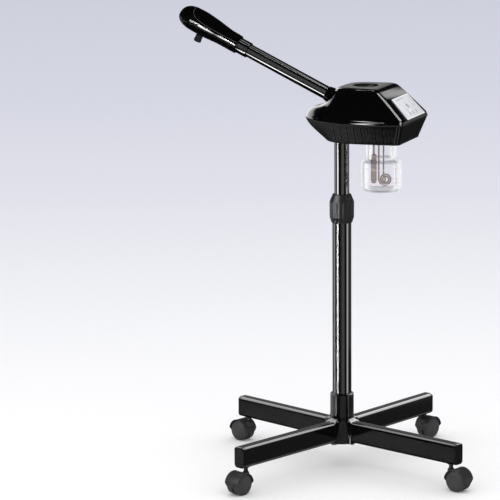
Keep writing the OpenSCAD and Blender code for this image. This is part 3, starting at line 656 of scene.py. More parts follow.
# End plugs: a domed face, a shallow neck and a hollow spigot inside the tube
plugs = []
for angle, reach in zip(LEG_ANGLES, LEG_REACH):
    plug = join(extrude(leg_outline, reach - 6.65, reach, 2.2, 5),
                extrude(rounded_box(28.6, 48.6, 7.4, 8), reach - 7.8, reach - 6.4),
                extrude(rounded_box(26.1, 46.1, 6, 6), reach - 15, reach - 7.7, 0.4, 2,
                        rounded_box(21, 41, 4, 6)))
    plugs.append(moved(plug, leg_frame(angle)))
weight_normals(piece("leg_end_plugs", join(*plugs), "base", "leg_end_caps",
                     GLOSS, sharp=50))


# ------------------------------------------------------------------ base fasteners
def hexagon(radius):
    return rounded([(x, y, 0.4) for x, y in arc(radius, range(0, 360, 60))], True, 2)


leg_bolt = join(extrude(hexagon(5.5), 54, 57.9, 0.5, 2),
                turned([(0, 57.8), (3, 57.8), (3, 72, .4), (0, 72)], 32),
                revolve([(0, 53.6), (3.4, 53.6), (4.4, 54.05), (0, 54.05)], 32),
                extrude(hexagon(5.5), 63.9, 68.4, 0.5, 2))
piece("leg_bolt_set", join(*[moved(leg_bolt, turn(a, "Z") @ shift(31)) for a in LEG_ANGLES]),
      "base", "leg_bolts", STEEL, sharp=30)
pole_bolt = join(extrude(hexagon(8.5), 51, 56.9, 0.8, 3),
                 turned([(0, 57), (11, 57, .4), (11, 58, .4), (0, 58)], 48),
                 revolve([(0, 58), (5, 58), (5, 87.4), (4.4, 88), (0, 88)], 32))
piece("pole_bolt_head", pole_bolt, "base", "pole_bolt", STEEL, sharp=30)
socket = turned_ring([(5.06, 60.4, .3), (9, 60.4, .5), (9, 61.9, .3), (7, 61.9), (7, 99, .5),
                      (5.06, 99, .3)], 48)
sockets = [moved(socket, turn(a, "Z") @ shift(reach))
           for a, reach in zip(LEG_ANGLES, STEM_REACH)]
piece("caster_socket_set", join(*sockets), "base", "caster_sockets",
      SATIN, sharp=30)

# ------------------------------------------------------------------ column
lower_tube = turned_ring([(LOWER_BORE, 72.1, .3), (LOWER_TUBE, 72.1, .5),
                          (LOWER_TUBE, LOWER_TOP, .6), (LOWER_BORE, LOWER_TOP, .6)], 160)
piece("lower_column_tube", lower_tube, "base", "lower_pole", PAINT,
      sharp=50)
collet = turned_ring([
    (17.56, 560, .5), (20.6, 560, .5), (20.6, 598.05), (22.5, 598.05, .3), (22.5, 606, .5),
    (20.4, 612, .5), (20.4, 636, .8), (18.9, 648, .4), (17.56, 648, .3)], 96)
piece("collet_split_sleeve", collet, "base", "collet_sleeve", SATIN,
      sharp=40)
upper_tube = turned_ring([(UPPER_BORE, 230, .3), (UPPER_TUBE, 230, .4),
                          (UPPER_TUBE, 848, .5), (UPPER_BORE, 848, .5)], 160)
piece("upper_column_tube", upper_tube, "mast", "upper_pole", PAINT,
      sharp=50)
bush = turned_ring([(12, 226, .4), (20.6, 226, .8), (20.6, 262, .8), (17.52, 262, .3),
                    (17.52, 229.9), (12, 229.9, .3)], 96)
piece("column_slide_bush", bush, "mast", "slide_bush", WHITE, sharp=40)

# Height collar: flutes between ribs on the outside only
COLLAR_RIBS = 18
COLLAR_SKIN = 23.0                      # points beyond this radius are finely spaced
COLLAR_PROFILE = [
    (22.65, 591.2, .4), (24.6, 591.2, .8), (28.8, 604.5, 3), (29.0, 640, 1.2),
    (28.5, 642.2, 1.0), (21.8, 658.6, 1.2), (20.6, 659.5, .5), (17.9, 659.5, .6), (17.9, 652),
    (21, 640), (21, 612.5), (22.9, 608), (22.65, 606)]


def flute(r, z, angle):
    if r < 23.6:
        return r, z
    across = abs((angle * COLLAR_RIBS / (2 * pi)) % 1.0 - 0.5) * 2
    rib = smooth01((across - 0.25) / 0.45)              # 1 on a rib, 0 in a flute
    top = smooth01((641.5 + 1.4 * rib - z) / 2.2)
    bottom = smooth01((z - 592.5) / 6)
    return r - 0.85 * (1 - rib) * top * bottom, z


collar_outline = rounded(COLLAR_PROFILE, True, 6)
collar_points = []
for p, q in zip(collar_outline, collar_outline[1:] + collar_outline[:1]):
    length = math.hypot(q[0] - p[0], q[1] - p[1])
    steps = max(1, int(length / 1.2)) if min(p[0], q[0]) > COLLAR_SKIN else 1
    collar_points += [(mix(p[0], q[0], k / steps), mix(p[1], q[1], k / steps))
                      for k in range(steps)]
piece("height_collar_grip", revolve(collar_points, COLLAR_RIBS * 20, True, flute), "collar",
      "height_collar", COLLAR, sharp=55)

# ------------------------------------------------------------------ casters
caster_stem = turned([
    (0, 40), (5, 40), (5, 48.6), (7, 48.6, .4), (7, 50, .4), (5, 50, .3), (5, 58), (4.7, 58.4),
    (4.7, 59.6), (5, 60), (5, 94.5, 1.2), (4, 96, .4), (0, 96)], 48, seg=4)
hood_boss = turned_ring([(5.02, 37), (8.2, 37, .5), (8.2, 48.5, 1.0), (5.02, 48.5, .3)], 48, 4)


def hood_shell():
    """Band arching over both wheels, a bead along each side and a central web."""
    steps = 56
    band = []
    for i in range(steps + 1):
        t = i / steps
        a = rad(-8 + 196 * t)
        from_end = min(t, 1 - t) * 196
        y = 20.5 * (0.62 + 0.38 * smooth01(from_end / 20.0))
        section = rounded([(25.9, y, .5), (27.8, y, .9), (27.8, -y, .9), (25.9, -y, .5)],
                          True, 4)
        band.append([(r * cos(a), r * sin(a), z) for r, z in section])
    beads = []
    for side in (-1, 1):
        rings = []
        for i in range(steps + 1):
            t = i / steps
            a = rad(-4 + 188 * t)
            from_end = min(t, 1 - t) * 188
            middle = side * (19.4 - 5.5 * (1 - smooth01(from_end / 16.0)))
            rings.append([(r * cos(a), r * sin(a), z)
                          for r, z in arc(0.75, range(0, 360, 60), 27.6, middle)])
        beads.append(loft(rings))
    web = rounded(arc(26.1, range(-6, 187, 4)) + [(-8, -6.5, 3), (8, -6.5, 3)], True, 3)
    return join(loft(band), *beads, extrude(web, -2.9, 2.9, 0.5, 2))


hood = hood_shell()
wheel = turned([
    (0, 3.9), (24.2, 3.9, .8), (WHEEL_RADIUS, 5.4, 1.2), (WHEEL_RADIUS, 14.6, 1.6),
    (24.4, 16.4, .8), (23.3, 17.0, .5), (23.0, 16.6, .2), (22.6, 16.6, .2), (22.2, 17.3, .5),
    (20.6, 18.0, 2), (17, 19.0, 6), (11, 20.05, 8), (5, 20.45, 5), (0, 20.5)], 112, seg=4)
wheel_pair = join(wheel, moved(wheel, Matrix.Scale(-1, 4, (0, 0, 1))))
axle = turned([(0, -16), (3, -16, .3), (3, 16, .3), (0, 16)], 32)

for k, (angle, reach) in enumerate(zip(LEG_ANGLES, STEM_REACH), 1):
    at_stem = turn(angle, "Z") @ shift(reach)
    at_axle = at_stem @ shift(WHEEL_OFFSET, 0, WHEEL_RADIUS) @ turn(90, "X")
    body, wheels = f"caster_{k}", f"wheels_{k}"
    piece(f"caster_stem_pin_{k}", moved(caster_stem, at_stem), body, f"caster_stem_{k}",
          DARK_STEEL, sharp=40)
    piece(f"caster_hood_shell_{k}", join(moved(hood, at_axle), moved(hood_boss, at_stem)),
          body, f"caster_hood_{k}", HOOD, sharp=42)
    piece(f"caster_twin_wheel_{k}", moved(wheel_pair, at_axle), wheels,
          f"caster_wheels_{k}", WHEEL, sharp=28)
    piece(f"caster_axle_rod_{k}", moved(axle, at_axle), wheels, f"caster_axle_{k}",
          STEEL)

# ------------------------------------------------------------------ head outlines
# Section columns: -X tip x, tip handle y, shoulder handle x and y, shoulder x and y,
# half width at the +X end, +X end x, corner radius
HULL_RIM = [-86, 46, -12, 121, 80, 121, 101, 181, 9]
HULL_FLOOR = [-28, 42, -14, 74, 42, 84, 76, 164, 8]
# Cover levels: z, then a section
COVER_LEVELS = [
    [COVER_RIM_Z, *HULL_RIM],
    [846, -85, 44, -14, 114, 80, 115.5, 99, 180.9, 9],
    [849, -83.8, 42, -16, 105, 80, 108, 96.5, 180.4, 9],
    [853, -81.8, 40, -18, 97, 79, 102, 95, 178.6, 9],
    [858, -78, 37.5, -19, 89, 78, 97.5, 93.5, 174, 9],
    [863, -72.5, 35, -18, 83, 77, 94.5, 92, 169, 9],
    [867, -64, 35, -16, 80, 76, 92.5, 91, 165, 9],
    [872, -47, 39, -14, 78, 75, 90.5, 89.5, 160, 9],
    [880, -31, 46, -12, 77, 72, 87.5, 87, 152, 9],
    [890, -21.5, 52, -8, 75, 70, 83.5, 84.5, 142, 9],
    [896, -16, 54, -5.5, 73.5, 68, 81, 82.7, 135.8, 9],
    [902, -11, 55.5, -3, 71.6, 65, 78.7, 81, 129.2, 9],
    [908, -6, 57, 0, 69.7, 63, 76.2, 79.2, 122.4, 9],
    [912.5, -2, 57, 2.5, 68, 61, 74.2, 77.4, 117.4, 9],
    [915.5, 1.5, 55.5, 5.5, 65.6, 60, 71.8, 75, 113.2, 9],
    [917.6, 7, 52, 10.5, 62, 60, 68, 71.5, 108.6, 9],
    [919, 17, 43, 21, 55, 60, 61, 65, 102, 9]]


def outline(section, z, chamfered=False):
    """Closed head outline: the +Y half from the -X tip to the +X end, then its mirror."""
    tip, tip_y, handle_x, handle_y, shoulder_x, shoulder_y, half_width, end, radius = section
    corner_x = end - radius
    half = [(bezier(tip, tip, handle_x, shoulder_x, t / 40),
             bezier(0, tip_y, handle_y, shoulder_y, t / 40)) for t in range(40)]
    half += [(bezier(shoulder_x, mix(shoulder_x, corner_x, .4), mix(shoulder_x, corner_x, .7),
                     corner_x, t / 16),
              bezier(shoulder_y, shoulder_y, mix(shoulder_y, half_width, .65), half_width,
                     t / 16)) for t in range(16)]
    corner_y = half_width - radius
    if chamfered:
        half += rounded([(corner_x - 6, half_width + 0.6), (corner_x + 0.5, half_width, 1.6),
                         (end, corner_y + 0.2, 1.6), (end, corner_y - 8)], False, 4)[1:-1]
    else:
        half += arc(radius, range(90, -1, -9), corner_x, corner_y)
    end_y = half[-1][1]
    half += [(end, end_y * (1 - t / 8)) for t in range(1, 9)]
    return [(x, y, z) for x, y in half] + [(x, -y, z) for x, y in half[-2:0:-1]]


def inset(section, t):
    """Section drawn in by t."""
    shares = (1, -0.5, 0.6, -1, 0, -1, -1, -1, -0.6)
    moved_in = [value + share * t for value, share in zip(section, shares)]
    return moved_in[:-1] + [max(2, moved_in[-1])]


def side_curve(depth):
    if depth < 0.9:
        return depth * 0.94
    return 0.846 + (1 - math.sqrt(max(0, 1 - ((depth - 0.9) / 0.1) ** 2))) * 0.154


def hull_ring(depth, wall=0):
    """Lower housing section, depth 0 at the rim and 1 at the floor, drawn in by wall."""
    rim = outline(inset(HULL_RIM, wall), 0, chamfered=True)
    floor = outline(inset(HULL_FLOOR, wall), 0, chamfered=True)
    z = mix(HULL_RIM_Z, HULL_FLOOR_Z + wall, depth)
    ring = []
    for p, q in zip(rim, floor):
        side = smooth01((p[0] + 91) / 110)
        share = mix(depth ** 1.5, side_curve(depth), side)
        ring.append((mix(p[0], q[0], share), mix(p[1], q[1], share), z))
    return ring


# ------------------------------------------------------------------ lower housing
# Upper and lower end of each vent slot on the +Y side; the -Y side mirrors them
SLOTS = [
    ((14.1, 102.8, 832.6), (13.9, 81.7, 798.7)), ((32.3, 108.8, 832.4), (31.6, 88.8, 800.6)),
    ((51.2, 113.9, 834), (48.1, 89.8, 797.1)), ((69.1, 116.6, 835.2), (65.1, 89.6, 797.2)),
    ((85.8, 115.8, 834.2), (82.1, 89.2, 797.9)), ((102.1, 114.6, 834.8), (97.8, 88.2, 798.5)),
    ((119, 111.7, 835.2), (113.6, 85.4, 797)), ((134.9, 106.4, 833.3), (130.8, 83.2, 796.8)),
    ((151.7, 101.1, 832.2), (148.9, 81.6, 798.2))]


def slot_cutter(top, bottom):
    """Flat bar from bottom to top whose X stays near world X."""
    top, bottom = Vector(top), Vector(bottom)
    length = (top - bottom).length
    z_axis = (top - bottom).normalized()
    x_axis = (Vector((1, 0, 0)) - z_axis * z_axis.x).normalized()
    y_axis = z_axis.cross(x_axis)
    matrix = Matrix((x_axis, y_axis, z_axis)).transposed().to_4x4()
    bar = extrude(rounded_box(2.3, 10, 0.5, 3), -length / 2, length / 2)
    return moved(bar, Matrix.Translation((top + bottom) / 2) @ matrix)


rim_ring, floor_ring = hull_ring(0), hull_ring(1)


def drawn_in(share, z):
    return [(mix(p[0], q[0], share), mix(p[1], q[1], share), z)
            for p, q in zip(rim_ring, floor_ring)]


hull_depths = [i / 34 for i in range(1, 29)] + [0.88 + 0.12 * i / 12 for i in range(13)]
hull_outer = [drawn_in(0.012, HULL_RIM_Z), drawn_in(0.02, 840.6)]
hull_outer += [hull_ring(depth) for depth in hull_depths]
hull_outer.append([(mix(p[0], 75, 0.06), mix(p[1], 0, 0.06), HULL_FLOOR_Z)
                   for p in floor_ring])
hull_inner = [hull_ring(i / 14, HEAD_WALL) for i in range(15)]
hull = piece("lower_housing_shell", cup(hull_outer, hull_inner), "head", "lower_housing",
             HOUSING, sharp=32)
openings = [slot_cutter((t[0], side * t[1], t[2]), (b[0], side * b[1], b[2]))
            for side in (1, -1) for t, b in SLOTS]
openings += [cylinder(23.1, 780, 800, 96),                              # column
             moved(cylinder(42.2, 780, 800, 128), shift(JAR_X)),        # jar ring
             moved(extrude(rounded_box(24, 28, 3), 785, 800), shift(147, 44))]
openings += [moved(cylinder(4.2, 788, 801, 40), shift(x, y)) for x, y in SCREWS]
cut_smoothly(hull, openings, angle=30)


def corner_bead(ring, corner, way):
    """Fine raised line down the hull, 3.4 along the outline from a corner point; painted paler
    as a painted highlight of the corner edge.
    """
    spacing = 3.4
    n, start = len(ring), ring[corner][:2]
    k = corner
    while math.dist(ring[k][:2], start) < spacing:
        k = (k + way) % n
    before = (k - way) % n
    near, far = math.dist(ring[before][:2], start), math.dist(ring[k][:2], start)
    t = (spacing - near) / max(1e-6, far - near)
    sections = []
    for i in range(15):
        level = hull_ring(0.03 + 0.9 * i / 14, 0.15)
        x, y, z = (mix(level[before][c], level[k][c], t) for c in range(3))
        sections.append([(*p, z) for p in arc(0.55, range(0, 360, 60), x, y)])
    return loft(sections)


# Two paler beads down each rear corner of the hull: painted highlights of the corner edges.
middle_ring = hull_ring(0.5)
beads = []
for side in (1, -1):
    corner = max(range(len(middle_ring)),
                 key=lambda i: middle_ring[i][0] + side * middle_ring[i][1])
    beads += [corner_bead(middle_ring, corner, way) for way in (-1, 1)]
piece("housing_corner_beads", join(*beads), "head", "lower_housing",
      PAINTED_HIGHLIGHT, sharp=70)


def screw_posts(bore, z0, z1):
    post = turned_ring([(bore, z0), (5, z0), (5, z1, .3), (bore, z1, .3)], 40)
    return [moved(post, shift(x, y)) for x, y in SCREWS]


piece("housing_screw_posts", join(*screw_posts(2.1, 793.5, 841)), "head", "lower_housing",
      HOUSING, sharp=32)

# ------------------------------------------------------------------ upper cover
cover_rows = smooth_rows(COVER_LEVELS, step=1.6, keys=(0, 1, 6, 8))
rim_section = [value + change for value, change
               in zip(HULL_RIM, [0.5, 0, 0, 0, 0, -.5, -.5, -.5, 0])]
cover_rings = [outline(rim_section, 843.0)]
cover_rings += [outline(row[1:], row[0] + (0.35 if k == 0 else 0))
                for k, row in enumerate(cover_rows)]
crest_ring = cover_rings[-1]
opening_angles = [math.atan2(p[1], p[0] - CAP_X) for p in crest_ring]


def opening_ring(r, z):
    return [(CAP_X + r * cos(a), r * sin(a), z) for a in opening_angles]


for t in (0.12, 0.3, 0.55, 0.8):        # slightly crowned top, from the crest to the opening
    z = 919 + 0.4 * (1 - (1 - t) ** 2)
    cover_rings.append([(mix(p[0], q[0], t), mix(p[1], q[1], t), z)
                        for p, q in zip(crest_ring, opening_ring(33.2, z))])
# Down through the opening, back out underneath it: (radius, z)
for r, z in ((33.2, 919.4), (32.2, 919.4), (31.6, 919.32), (31.2, 919.0), (31.02, 918.5),
             (31.0, 916), (31.0, 907), (33.5, 907), (33.5, 915), (36, 915.6)):
    cover_rings.append(opening_ring(r, z))
for level in reversed(COVER_LEVELS[:-1]):
    z = level[0]
    cover_rings.append(outline(inset(level[1:], HEAD_WALL),
                               z - HEAD_WALL * min(1, (z - COVER_RIM_Z) / 12)))
cover = piece("upper_cover_shell", loop_loft(cover_rings), "head", "upper_cover",
              GLOSS, sharp=40)

PANEL = shift(160, 4, 872) @ turn(45, "Y")      # panel plane, Z out of its face
at_pivot = shift(*ARM_PIVOT)
ball_clearance = revolve(arc(26.5, [-90 + 180 * i / 32 for i in range(33)]), 64)
cut_smoothly(cover, [
    moved(ball_clearance, at_pivot),
    moved(cylinder(20.9, 0, 50, 72), at_pivot @ turn(ARM_RISE - 97, "Y")),
    moved(extrude([(-25, -48), (25, -48), (25, 48), (-25, 48)], -8, 8), PANEL)], angle=40)
cover_inside = screw_posts(2.05, 843.1, 868)
cover_inside.append(moved(tube(29.7, 31.05, 908, 911.8, 96), shift(CAP_X)))
piece("cover_screw_posts", join(*cover_inside), "head", "upper_cover",
      GLOSS, sharp=32)

# Dark lip between the halves: (distance inside the rim, z)
LIP_PROFILE = [(-0.7, 841.35), (-0.45, 841.1), (2.2, 841.1), (2.2, 842.9), (-0.45, 842.9),
               (-0.7, 842.65)]
piece("rim_seal_strip", loop_loft([outline(inset(HULL_RIM, t), z) for t, z in LIP_PROFILE]),
      "head", "rim_seal", LIP, sharp=40)

# ------------------------------------------------------------------ control panel
PANEL_OUTLINE = [(-31, -52), (-31, 62), (31, 64), (31, -64)]
POWER_X, SMALL_X, KEY_PITCH = -2, 18, 22
SMALL_Y = (-KEY_PITCH, 0, KEY_PITCH)
POWER_RADIUS, SMALL_RADIUS = 7, 4.5
PRINT_BOTTOM, PRINT_TOP = 1.88, 1.955

plate = extrude(rounded([(x, y, 1.2) for x, y in PANEL_OUTLINE], True, 4), 0.1, 1.9, 0.5, 3)
panel = piece("control_panel_plate", moved(plate, PANEL), "head", "control_panel",
              SILVER, sharp=30)
key_holes = [moved(cylinder(POWER_RADIUS + 0.1, -2, 5, 64), PANEL @ shift(POWER_X, 0))]
key_holes += [moved(cylinder(SMALL_RADIUS + 0.1, -2, 5, 48), PANEL @ shift(SMALL_X, y))
              for y in SMALL_Y]
cut_smoothly(panel, key_holes, angle=30)


def inward(line, distance):
    """Panel outline moved inward."""
    out = []
    for i, point in enumerate(line):
        last, p, ahead = Vector(line[i - 1]), Vector(point), Vector(line[(i + 1) % len(line)])
        d0, d1 = (p - last).normalized(), (ahead - p).normalized()
        miter = Vector((-d0.y, d0.x)) + Vector((-d1.y, d1.x))
        miter = miter / max(1e-6, miter.length_squared) * 2
        if miter.dot(Vector((0, 5)) - p) < 0:
            miter = -miter
        out.append((p.x + miter.x * distance, p.y + miter.y * distance))
    return out


border = inward(PANEL_OUTLINE, 0.8)
piece("panel_border_line",
      moved(extrude(border, PRINT_BOTTOM, 1.96, hole=inward(border, 1.5)), PANEL),
      "head", "control_panel", BORDER, sharp=30)


def bar(x0, y0, x1, y1, width):
    along = Vector((x1 - x0, y1 - y0))
    along.normalize()
    side = Vector((-along.y, along.x)) * width / 2
    return extrude([(x0 + side.x, y0 + side.y), (x0 - side.x, y0 - side.y),
                    (x1 - side.x, y1 - side.y), (x1 + side.x, y1 + side.y)],
                   PRINT_BOTTOM, PRINT_TOP)


def dot(x, y, radius):
    return moved(cylinder(radius, PRINT_BOTTOM, PRINT_TOP, 32), shift(x, y))


def circle(x, y, inner, outer, start=0, end=360):
    mark = tube(inner, outer, PRINT_BOTTOM, PRINT_TOP, 32, end - start)
    return moved(mark, shift(x, y) @ turn(start, "Z"))


marks = [bar(-24.5, -38, -24.5, 14, 1.3), bar(-22, -38, -22, -8, 0.7),
         circle(POWER_X, 0, 8.2, 8.8)]
marks += [circle(SMALL_X, y, 5.4, 5.9) for y in SMALL_Y]
marks += [bar(6, -32 + k * 3.2, 8.2, -32 + k * 3.2, 0.8) for k in range(6)]
marks += [bar(-2, 32 + 6 * k, 3, 32 + 6 * k, 0.7) for k in range(3)]
piece("panel_print_marks", moved(join(*marks), PANEL), "head", "control_panel",
      PRINT, sharp=30)


def panel_key(kind, radius, x, y, symbol):
    """Stepped round key with a printed symbol on its face."""
    name, node_name, body = kind + "_key_cap", kind + "_button", kind + "_key"
    cap = turned([(0, -5.2), (1.5, -5.2), (1.5, -2.2), (radius + 1.2, -2.2),
                  (radius + 1.2, -0.6), (radius, -0.6), (radius, 2.5, .6), (0, 2.35)], 64, 4)
    piece(name, moved(cap, PANEL @ shift(x, y)), body, node_name, SILVER_KEY)
    piece(name + "_symbol", moved(join(*symbol), PANEL @ shift(x, y, 0.53)), body, node_name,
          KEY_PRINT, sharp=30)


panel_key("power", POWER_RADIUS, POWER_X, 0,
          [circle(0, 0, 2.6, 3.5, 120, 420), bar(-4.1, 0, -0.6, 0, 0.9)])
panel_key("steam", SMALL_RADIUS, SMALL_X, SMALL_Y[0],
          [dot(0.8, -1.2, 0.9), dot(0.8, 1.2, 0.9), dot(-0.8, 0, 1.2)])
panel_key("ozone", SMALL_RADIUS, SMALL_X, SMALL_Y[1], [circle(0, 0, 1.4, 2.0), dot(0, 0, 0.6)])
panel_key("timer", SMALL_RADIUS, SMALL_X, SMALL_Y[2],
          [circle(0, 0, 1.7, 2.2), bar(-1.6, 0, 0, 0, 0.5), bar(0, 0, 0, 1.3, 0.5)])

# ------------------------------------------------------------------ top cap and basket
at_cap = shift(CAP_X)
cap_insert = join(
    turned_ring([(27.6, 913.8), (30.7, 913.8, .4), (30.7, 919.4, .9), (27.6, 919.4, .7)],
                144, 4),
    turned([(0, 913.72), (27.9, 913.72), (27.9, 915.3), (4, 915.0, 3), (0, 915.0)], 144, 4))
# Divider bar across the top opening, painted paler: a painted highlight.
divider_section = rounded([(-1.7, 0.0), (-1.7, 4.0, 1.0), (1.7, 4.0, 1.0), (1.7, 0.0)], True, 4)
divider_reach = math.sqrt(27.9 ** 2 - 10.5 ** 2)
divider_rings = []
for i in range(25):
    t = -1 + 2 * i / 24
    divider_rings.append([(8.7 + x, t * divider_reach, 915.0 + z * (1 - 0.12 * (1 - t * t)))
                          for x, z in divider_section])
piece("top_cap_divider", moved(loft(divider_rings), at_cap), "cap", "top_cap",
      PAINTED_HIGHLIGHT, sharp=40)
piece("top_cap_insert", moved(cap_insert, at_cap), "cap", "top_cap",
      CAP, sharp=40)

basket_cup = turned([
    (0, 898), (29.4, 898, .8), (29.4, 912), (30.6, 912, .2), (30.6, 913.6, .3),
    (28, 913.6, .3), (28, 899.4, .5), (0, 899.4)], 96, seg=4)
basket = piece("aroma_basket_cup", moved(basket_cup, at_cap), "basket", "aroma_basket",
               STAINLESS, sharp=40)
for circle_radius, count in ((10, 8), (20, 16)):
    holes = [moved(cylinder(1.8, 892, 902, 20), shift(circle_radius * cos(2 * pi * k / count),
                                                      circle_radius * sin(2 * pi * k / count)))
             for k in range(count)]
    cut(basket, moved(join(*holes), at_cap))
basket.data.set_sharp_from_angle(angle=rad(40))

# ------------------------------------------------------------------ jar
JAR_RADIUS, JAR_NECK, JAR_BASE, JAR_SHOULDER_Z = 48.0, 36.0, 673.0, 738
JAR_CORNER, JAR_WALL, NECK_WALL = 9, 2.8, 2.6
jar_turn = JAR_RADIUS - JAR_CORNER      # radius of the corner centres
neck_bore = JAR_NECK - NECK_WALL
jar_bore = JAR_RADIUS - JAR_WALL
low_z = JAR_BASE + JAR_CORNER
at_jar = shift(JAR_X)

jar_profile = [(0, JAR_BASE + 1.8), (28, JAR_BASE + 1.8, 3), (33, JAR_BASE, 2.5),
               (jar_turn, JAR_BASE)]
jar_profile += arc(JAR_CORNER, range(-84, 0, 6), jar_turn, low_z)
jar_profile += [(JAR_RADIUS, low_z), (JAR_RADIUS, 700), (JAR_RADIUS, 720),
                (JAR_RADIUS, JAR_SHOULDER_Z)]
jar_profile += arc(JAR_CORNER, range(6, 85, 6), jar_turn, JAR_SHOULDER_Z)
jar_profile += [(JAR_RADIUS - 9.5, 747.1), (JAR_NECK + 1.6, 748.4, 1.5), (JAR_NECK, 751, 1.5),
                (JAR_NECK, 765)]
for z in (772, 779, 786):               # neck ridges
    jar_profile += [(JAR_NECK, z - 1.6, .5), (JAR_NECK + 0.3, z, .5), (JAR_NECK, z + 1.6, .5)]
jar_profile += [(JAR_NECK, 795), (JAR_NECK, 803.9, .8), (neck_bore, 803.9, .8),
                (neck_bore, 760), (neck_bore, 748.6, 2), (jar_turn, 744.4)]
jar_profile += arc(JAR_CORNER - JAR_WALL, range(78, 0, -6), jar_turn, JAR_SHOULDER_Z)
jar_profile += [(jar_bore, JAR_SHOULDER_Z), (jar_bore, 700), (jar_bore, low_z)]
jar_profile += arc(JAR_CORNER - JAR_WALL, range(-6, -90, -6), jar_turn, low_z)
jar_profile += [(jar_turn, JAR_BASE + 2.8), (33, JAR_BASE + 2.9, 2), (28, JAR_BASE + 4.6, 3),
                (0, JAR_BASE + 4.6)]
piece("glass_jar_body", moved(turned(jar_profile, 128, seg=4), at_jar), "jar", "glass_jar",
      GLASS, sharp=60)
level_lines = [tube(JAR_RADIUS + 0.02, JAR_RADIUS + 0.10, z - 0.45, z + 0.45, 128)
               for z in (728, 694)]
piece("jar_level_lines", moved(join(*level_lines), at_jar), "jar", "glass_jar",
      RED_LINE, sharp=30)

JAR_RING_RIBS = 48


def knurl(r, z, angle):
    if r < 40.4 or z > 789.4:
        return r, z
    t = (angle * JAR_RING_RIBS / (2 * pi)) % 1
    return r - 0.7 * smooth01(1 - abs(t - 0.5) * 2.6), z


jar_ring = rounded([
    (36.35, 785.2, .5), (39.6, 785.2, .5), (41, 786.4, .6), (41, 789.6), (41.5, 790, .2),
    (41.5, 803, .4), (36.35, 803, .3)], True, 4)
piece("jar_ring_knurled", moved(revolve(jar_ring, JAR_RING_RIBS * 8, True, knurl), at_jar),
      "jar_lock", "jar_ring", SATIN, sharp=50)

# ------------------------------------------------------------------ heater and level probe
# Coil, drawn in an upright plane: a leg down, a flat spiral, a leg back up
COIL_X, COIL_Z, COIL_RADIUS, COIL_STEP = 9.0, 699.0, 15, 5.5
coil_path = [(COIL_X - COIL_RADIUS, z, 0) for z in (812, 795, 775, 755, 735, 718, 708)]
for i in range(121):
    t = i / 120
    a = rad(180 + 360 * 2.25 * t)
    r = mix(COIL_RADIUS, 5, t)
    coil_path.append((COIL_X + r * cos(a), COIL_Z + r * sin(a),
                      COIL_STEP * max(0, t - 0.6) / 0.4))
coil_path += [(COIL_X - 4 * sin(rad(a)), COIL_Z + 9 - 4 * cos(rad(a)), COIL_STEP)
              for a in range(10, 91, 10)]
coil_path += [(COIL_X - 4.2, z, COIL_STEP) for z in (716, 725, 740, 760, 780, 800, 812)]
piece("heating_coil", moved(sweep(coil_path, 1.9, 14), at_jar @ turn(21.3, "Z") @ turn(90, "X")),
      "head", "heating_element", COIL, sharp=50)

probe_profile = [(0, 690), (5, 690, .8), (5, 694, .5)]
for i in range(15):
    z = 694.5 + i * 4.2
    probe_profile += [(7, z, .5), (7, z + 2.6, .5), (6, z + 3.1, .3), (6, z + 3.7, .3)]
probe_profile += [(5, 758, .6), (2.4, 759.5, .6), (2.4, 812), (0, 812)]
piece("level_sensor_probe", moved(turned(probe_profile, 40, seg=3), shift(81.5, -6.5)), "head",
      "level_sensor", PROBE, sharp=40)

# ------------------------------------------------------------------ steam arm
# Arm frame: Z along the arm from its pivot, X on its upper side
ARM = at_pivot @ turn(ARM_RISE - 90, "Y")
BALL_OUTER, BALL_INNER, ARM_TUBE = 26, 23.4, 16

ball_edge = arc(BALL_OUTER, [10])[0]
ball = revolve([(ball_edge[0] - 0.3, ball_edge[1] - 0.15)]
               + arc(BALL_OUTER, range(11, 58, 2)) + [(13.2, 22.4), (13.2, 20)]
               + arc(BALL_INNER, range(56, 10, -3)), 128, True)
boot = turned_ring([
    (13.1, 20), (15, 20), (20.0, 19.6, 2.2), (18.3, 29, 6), (17.5, 32.2, 1.0),
    (16.7, 33.1, .5), (16.04, 33.1), (16.04, 23.0), (13.1, 23.0)], 128, 6)
core = turned_ring([(7, 5), (10, 5), (14.2, 16), (14.2, 44, .5), (7, 44, .5)], 64, 3)
piece("arm_knuckle_ball", moved(join(ball, boot, core), ARM), "arm", "arm_knuckle",
      GLOSS, sharp=40)
arm_tube = turned_ring([(14.6, 23.2), (ARM_TUBE, 23.2, .3), (ARM_TUBE, 290, .5),
                        (14.6, 290, .5)], 160)
piece("arm_tube_main", moved(arm_tube, ARM), "arm", "arm_tube", PAINT,
      sharp=50)
arm_collar = turned_ring([
    (16.03, 249, .3), (17.4, 249, .8), (18.75, 250.6, .8), (18.75, 256), (18.35, 256.4, .1),
    (18.35, 257.2, .1), (18.75, 257.6), (18.75, 278.2, .6), (16.03, 278.3)], 144, 4)
piece("arm_collar_sleeve", moved(arm_collar, ARM), "arm", "arm_collar",
      GLOSS, sharp=40)

# ------------------------------------------------------------------ nozzle
# Station, height above the axis, depth below it, half width
NOZZLE_STATIONS = [
    [257, 22.4, 22, 21], [261, 22.8, 22, 21.2], [284, 23.8, 21.7, 21.6],
    [304, 26.5, 21.6, 22.6], [323, 29.5, 22.8, 24.2], [343, 31.9, 24, 25.5],
    [363, 33.4, 24, 26.4], [383, 33.1, 23.6, 26.4], [395, 31.4, 22, 25.4],
    [403, 28.9, 19.9, 23.4], [410, 25, 16.8, 20.2], [415, 20.2, 13.3, 16.4],
    [418.6, 14.5, 9.3, 11.6], [420.7, 7.5, 4.8, 5.8]]
NOZZLE_TIP = [[421.3, 3, 2.6, 2.8], [421.45, 1.0, 0.9, 1.0]]
# Joint between lower shell and top cover: height above the axis, station
PARTING_LINE = [(8, 250), (7.7, 295), (8.4, 328), (10.2, 351), (13, 369), (18, 381),
                (24.5, 387.5), (34, 388.5)]
PARTING_GAP = 0.45
SPOUT_STATION = 355

nozzle_rows = smooth_rows(NOZZLE_STATIONS, step=1.4, keys=(0, 1, 2, 3))


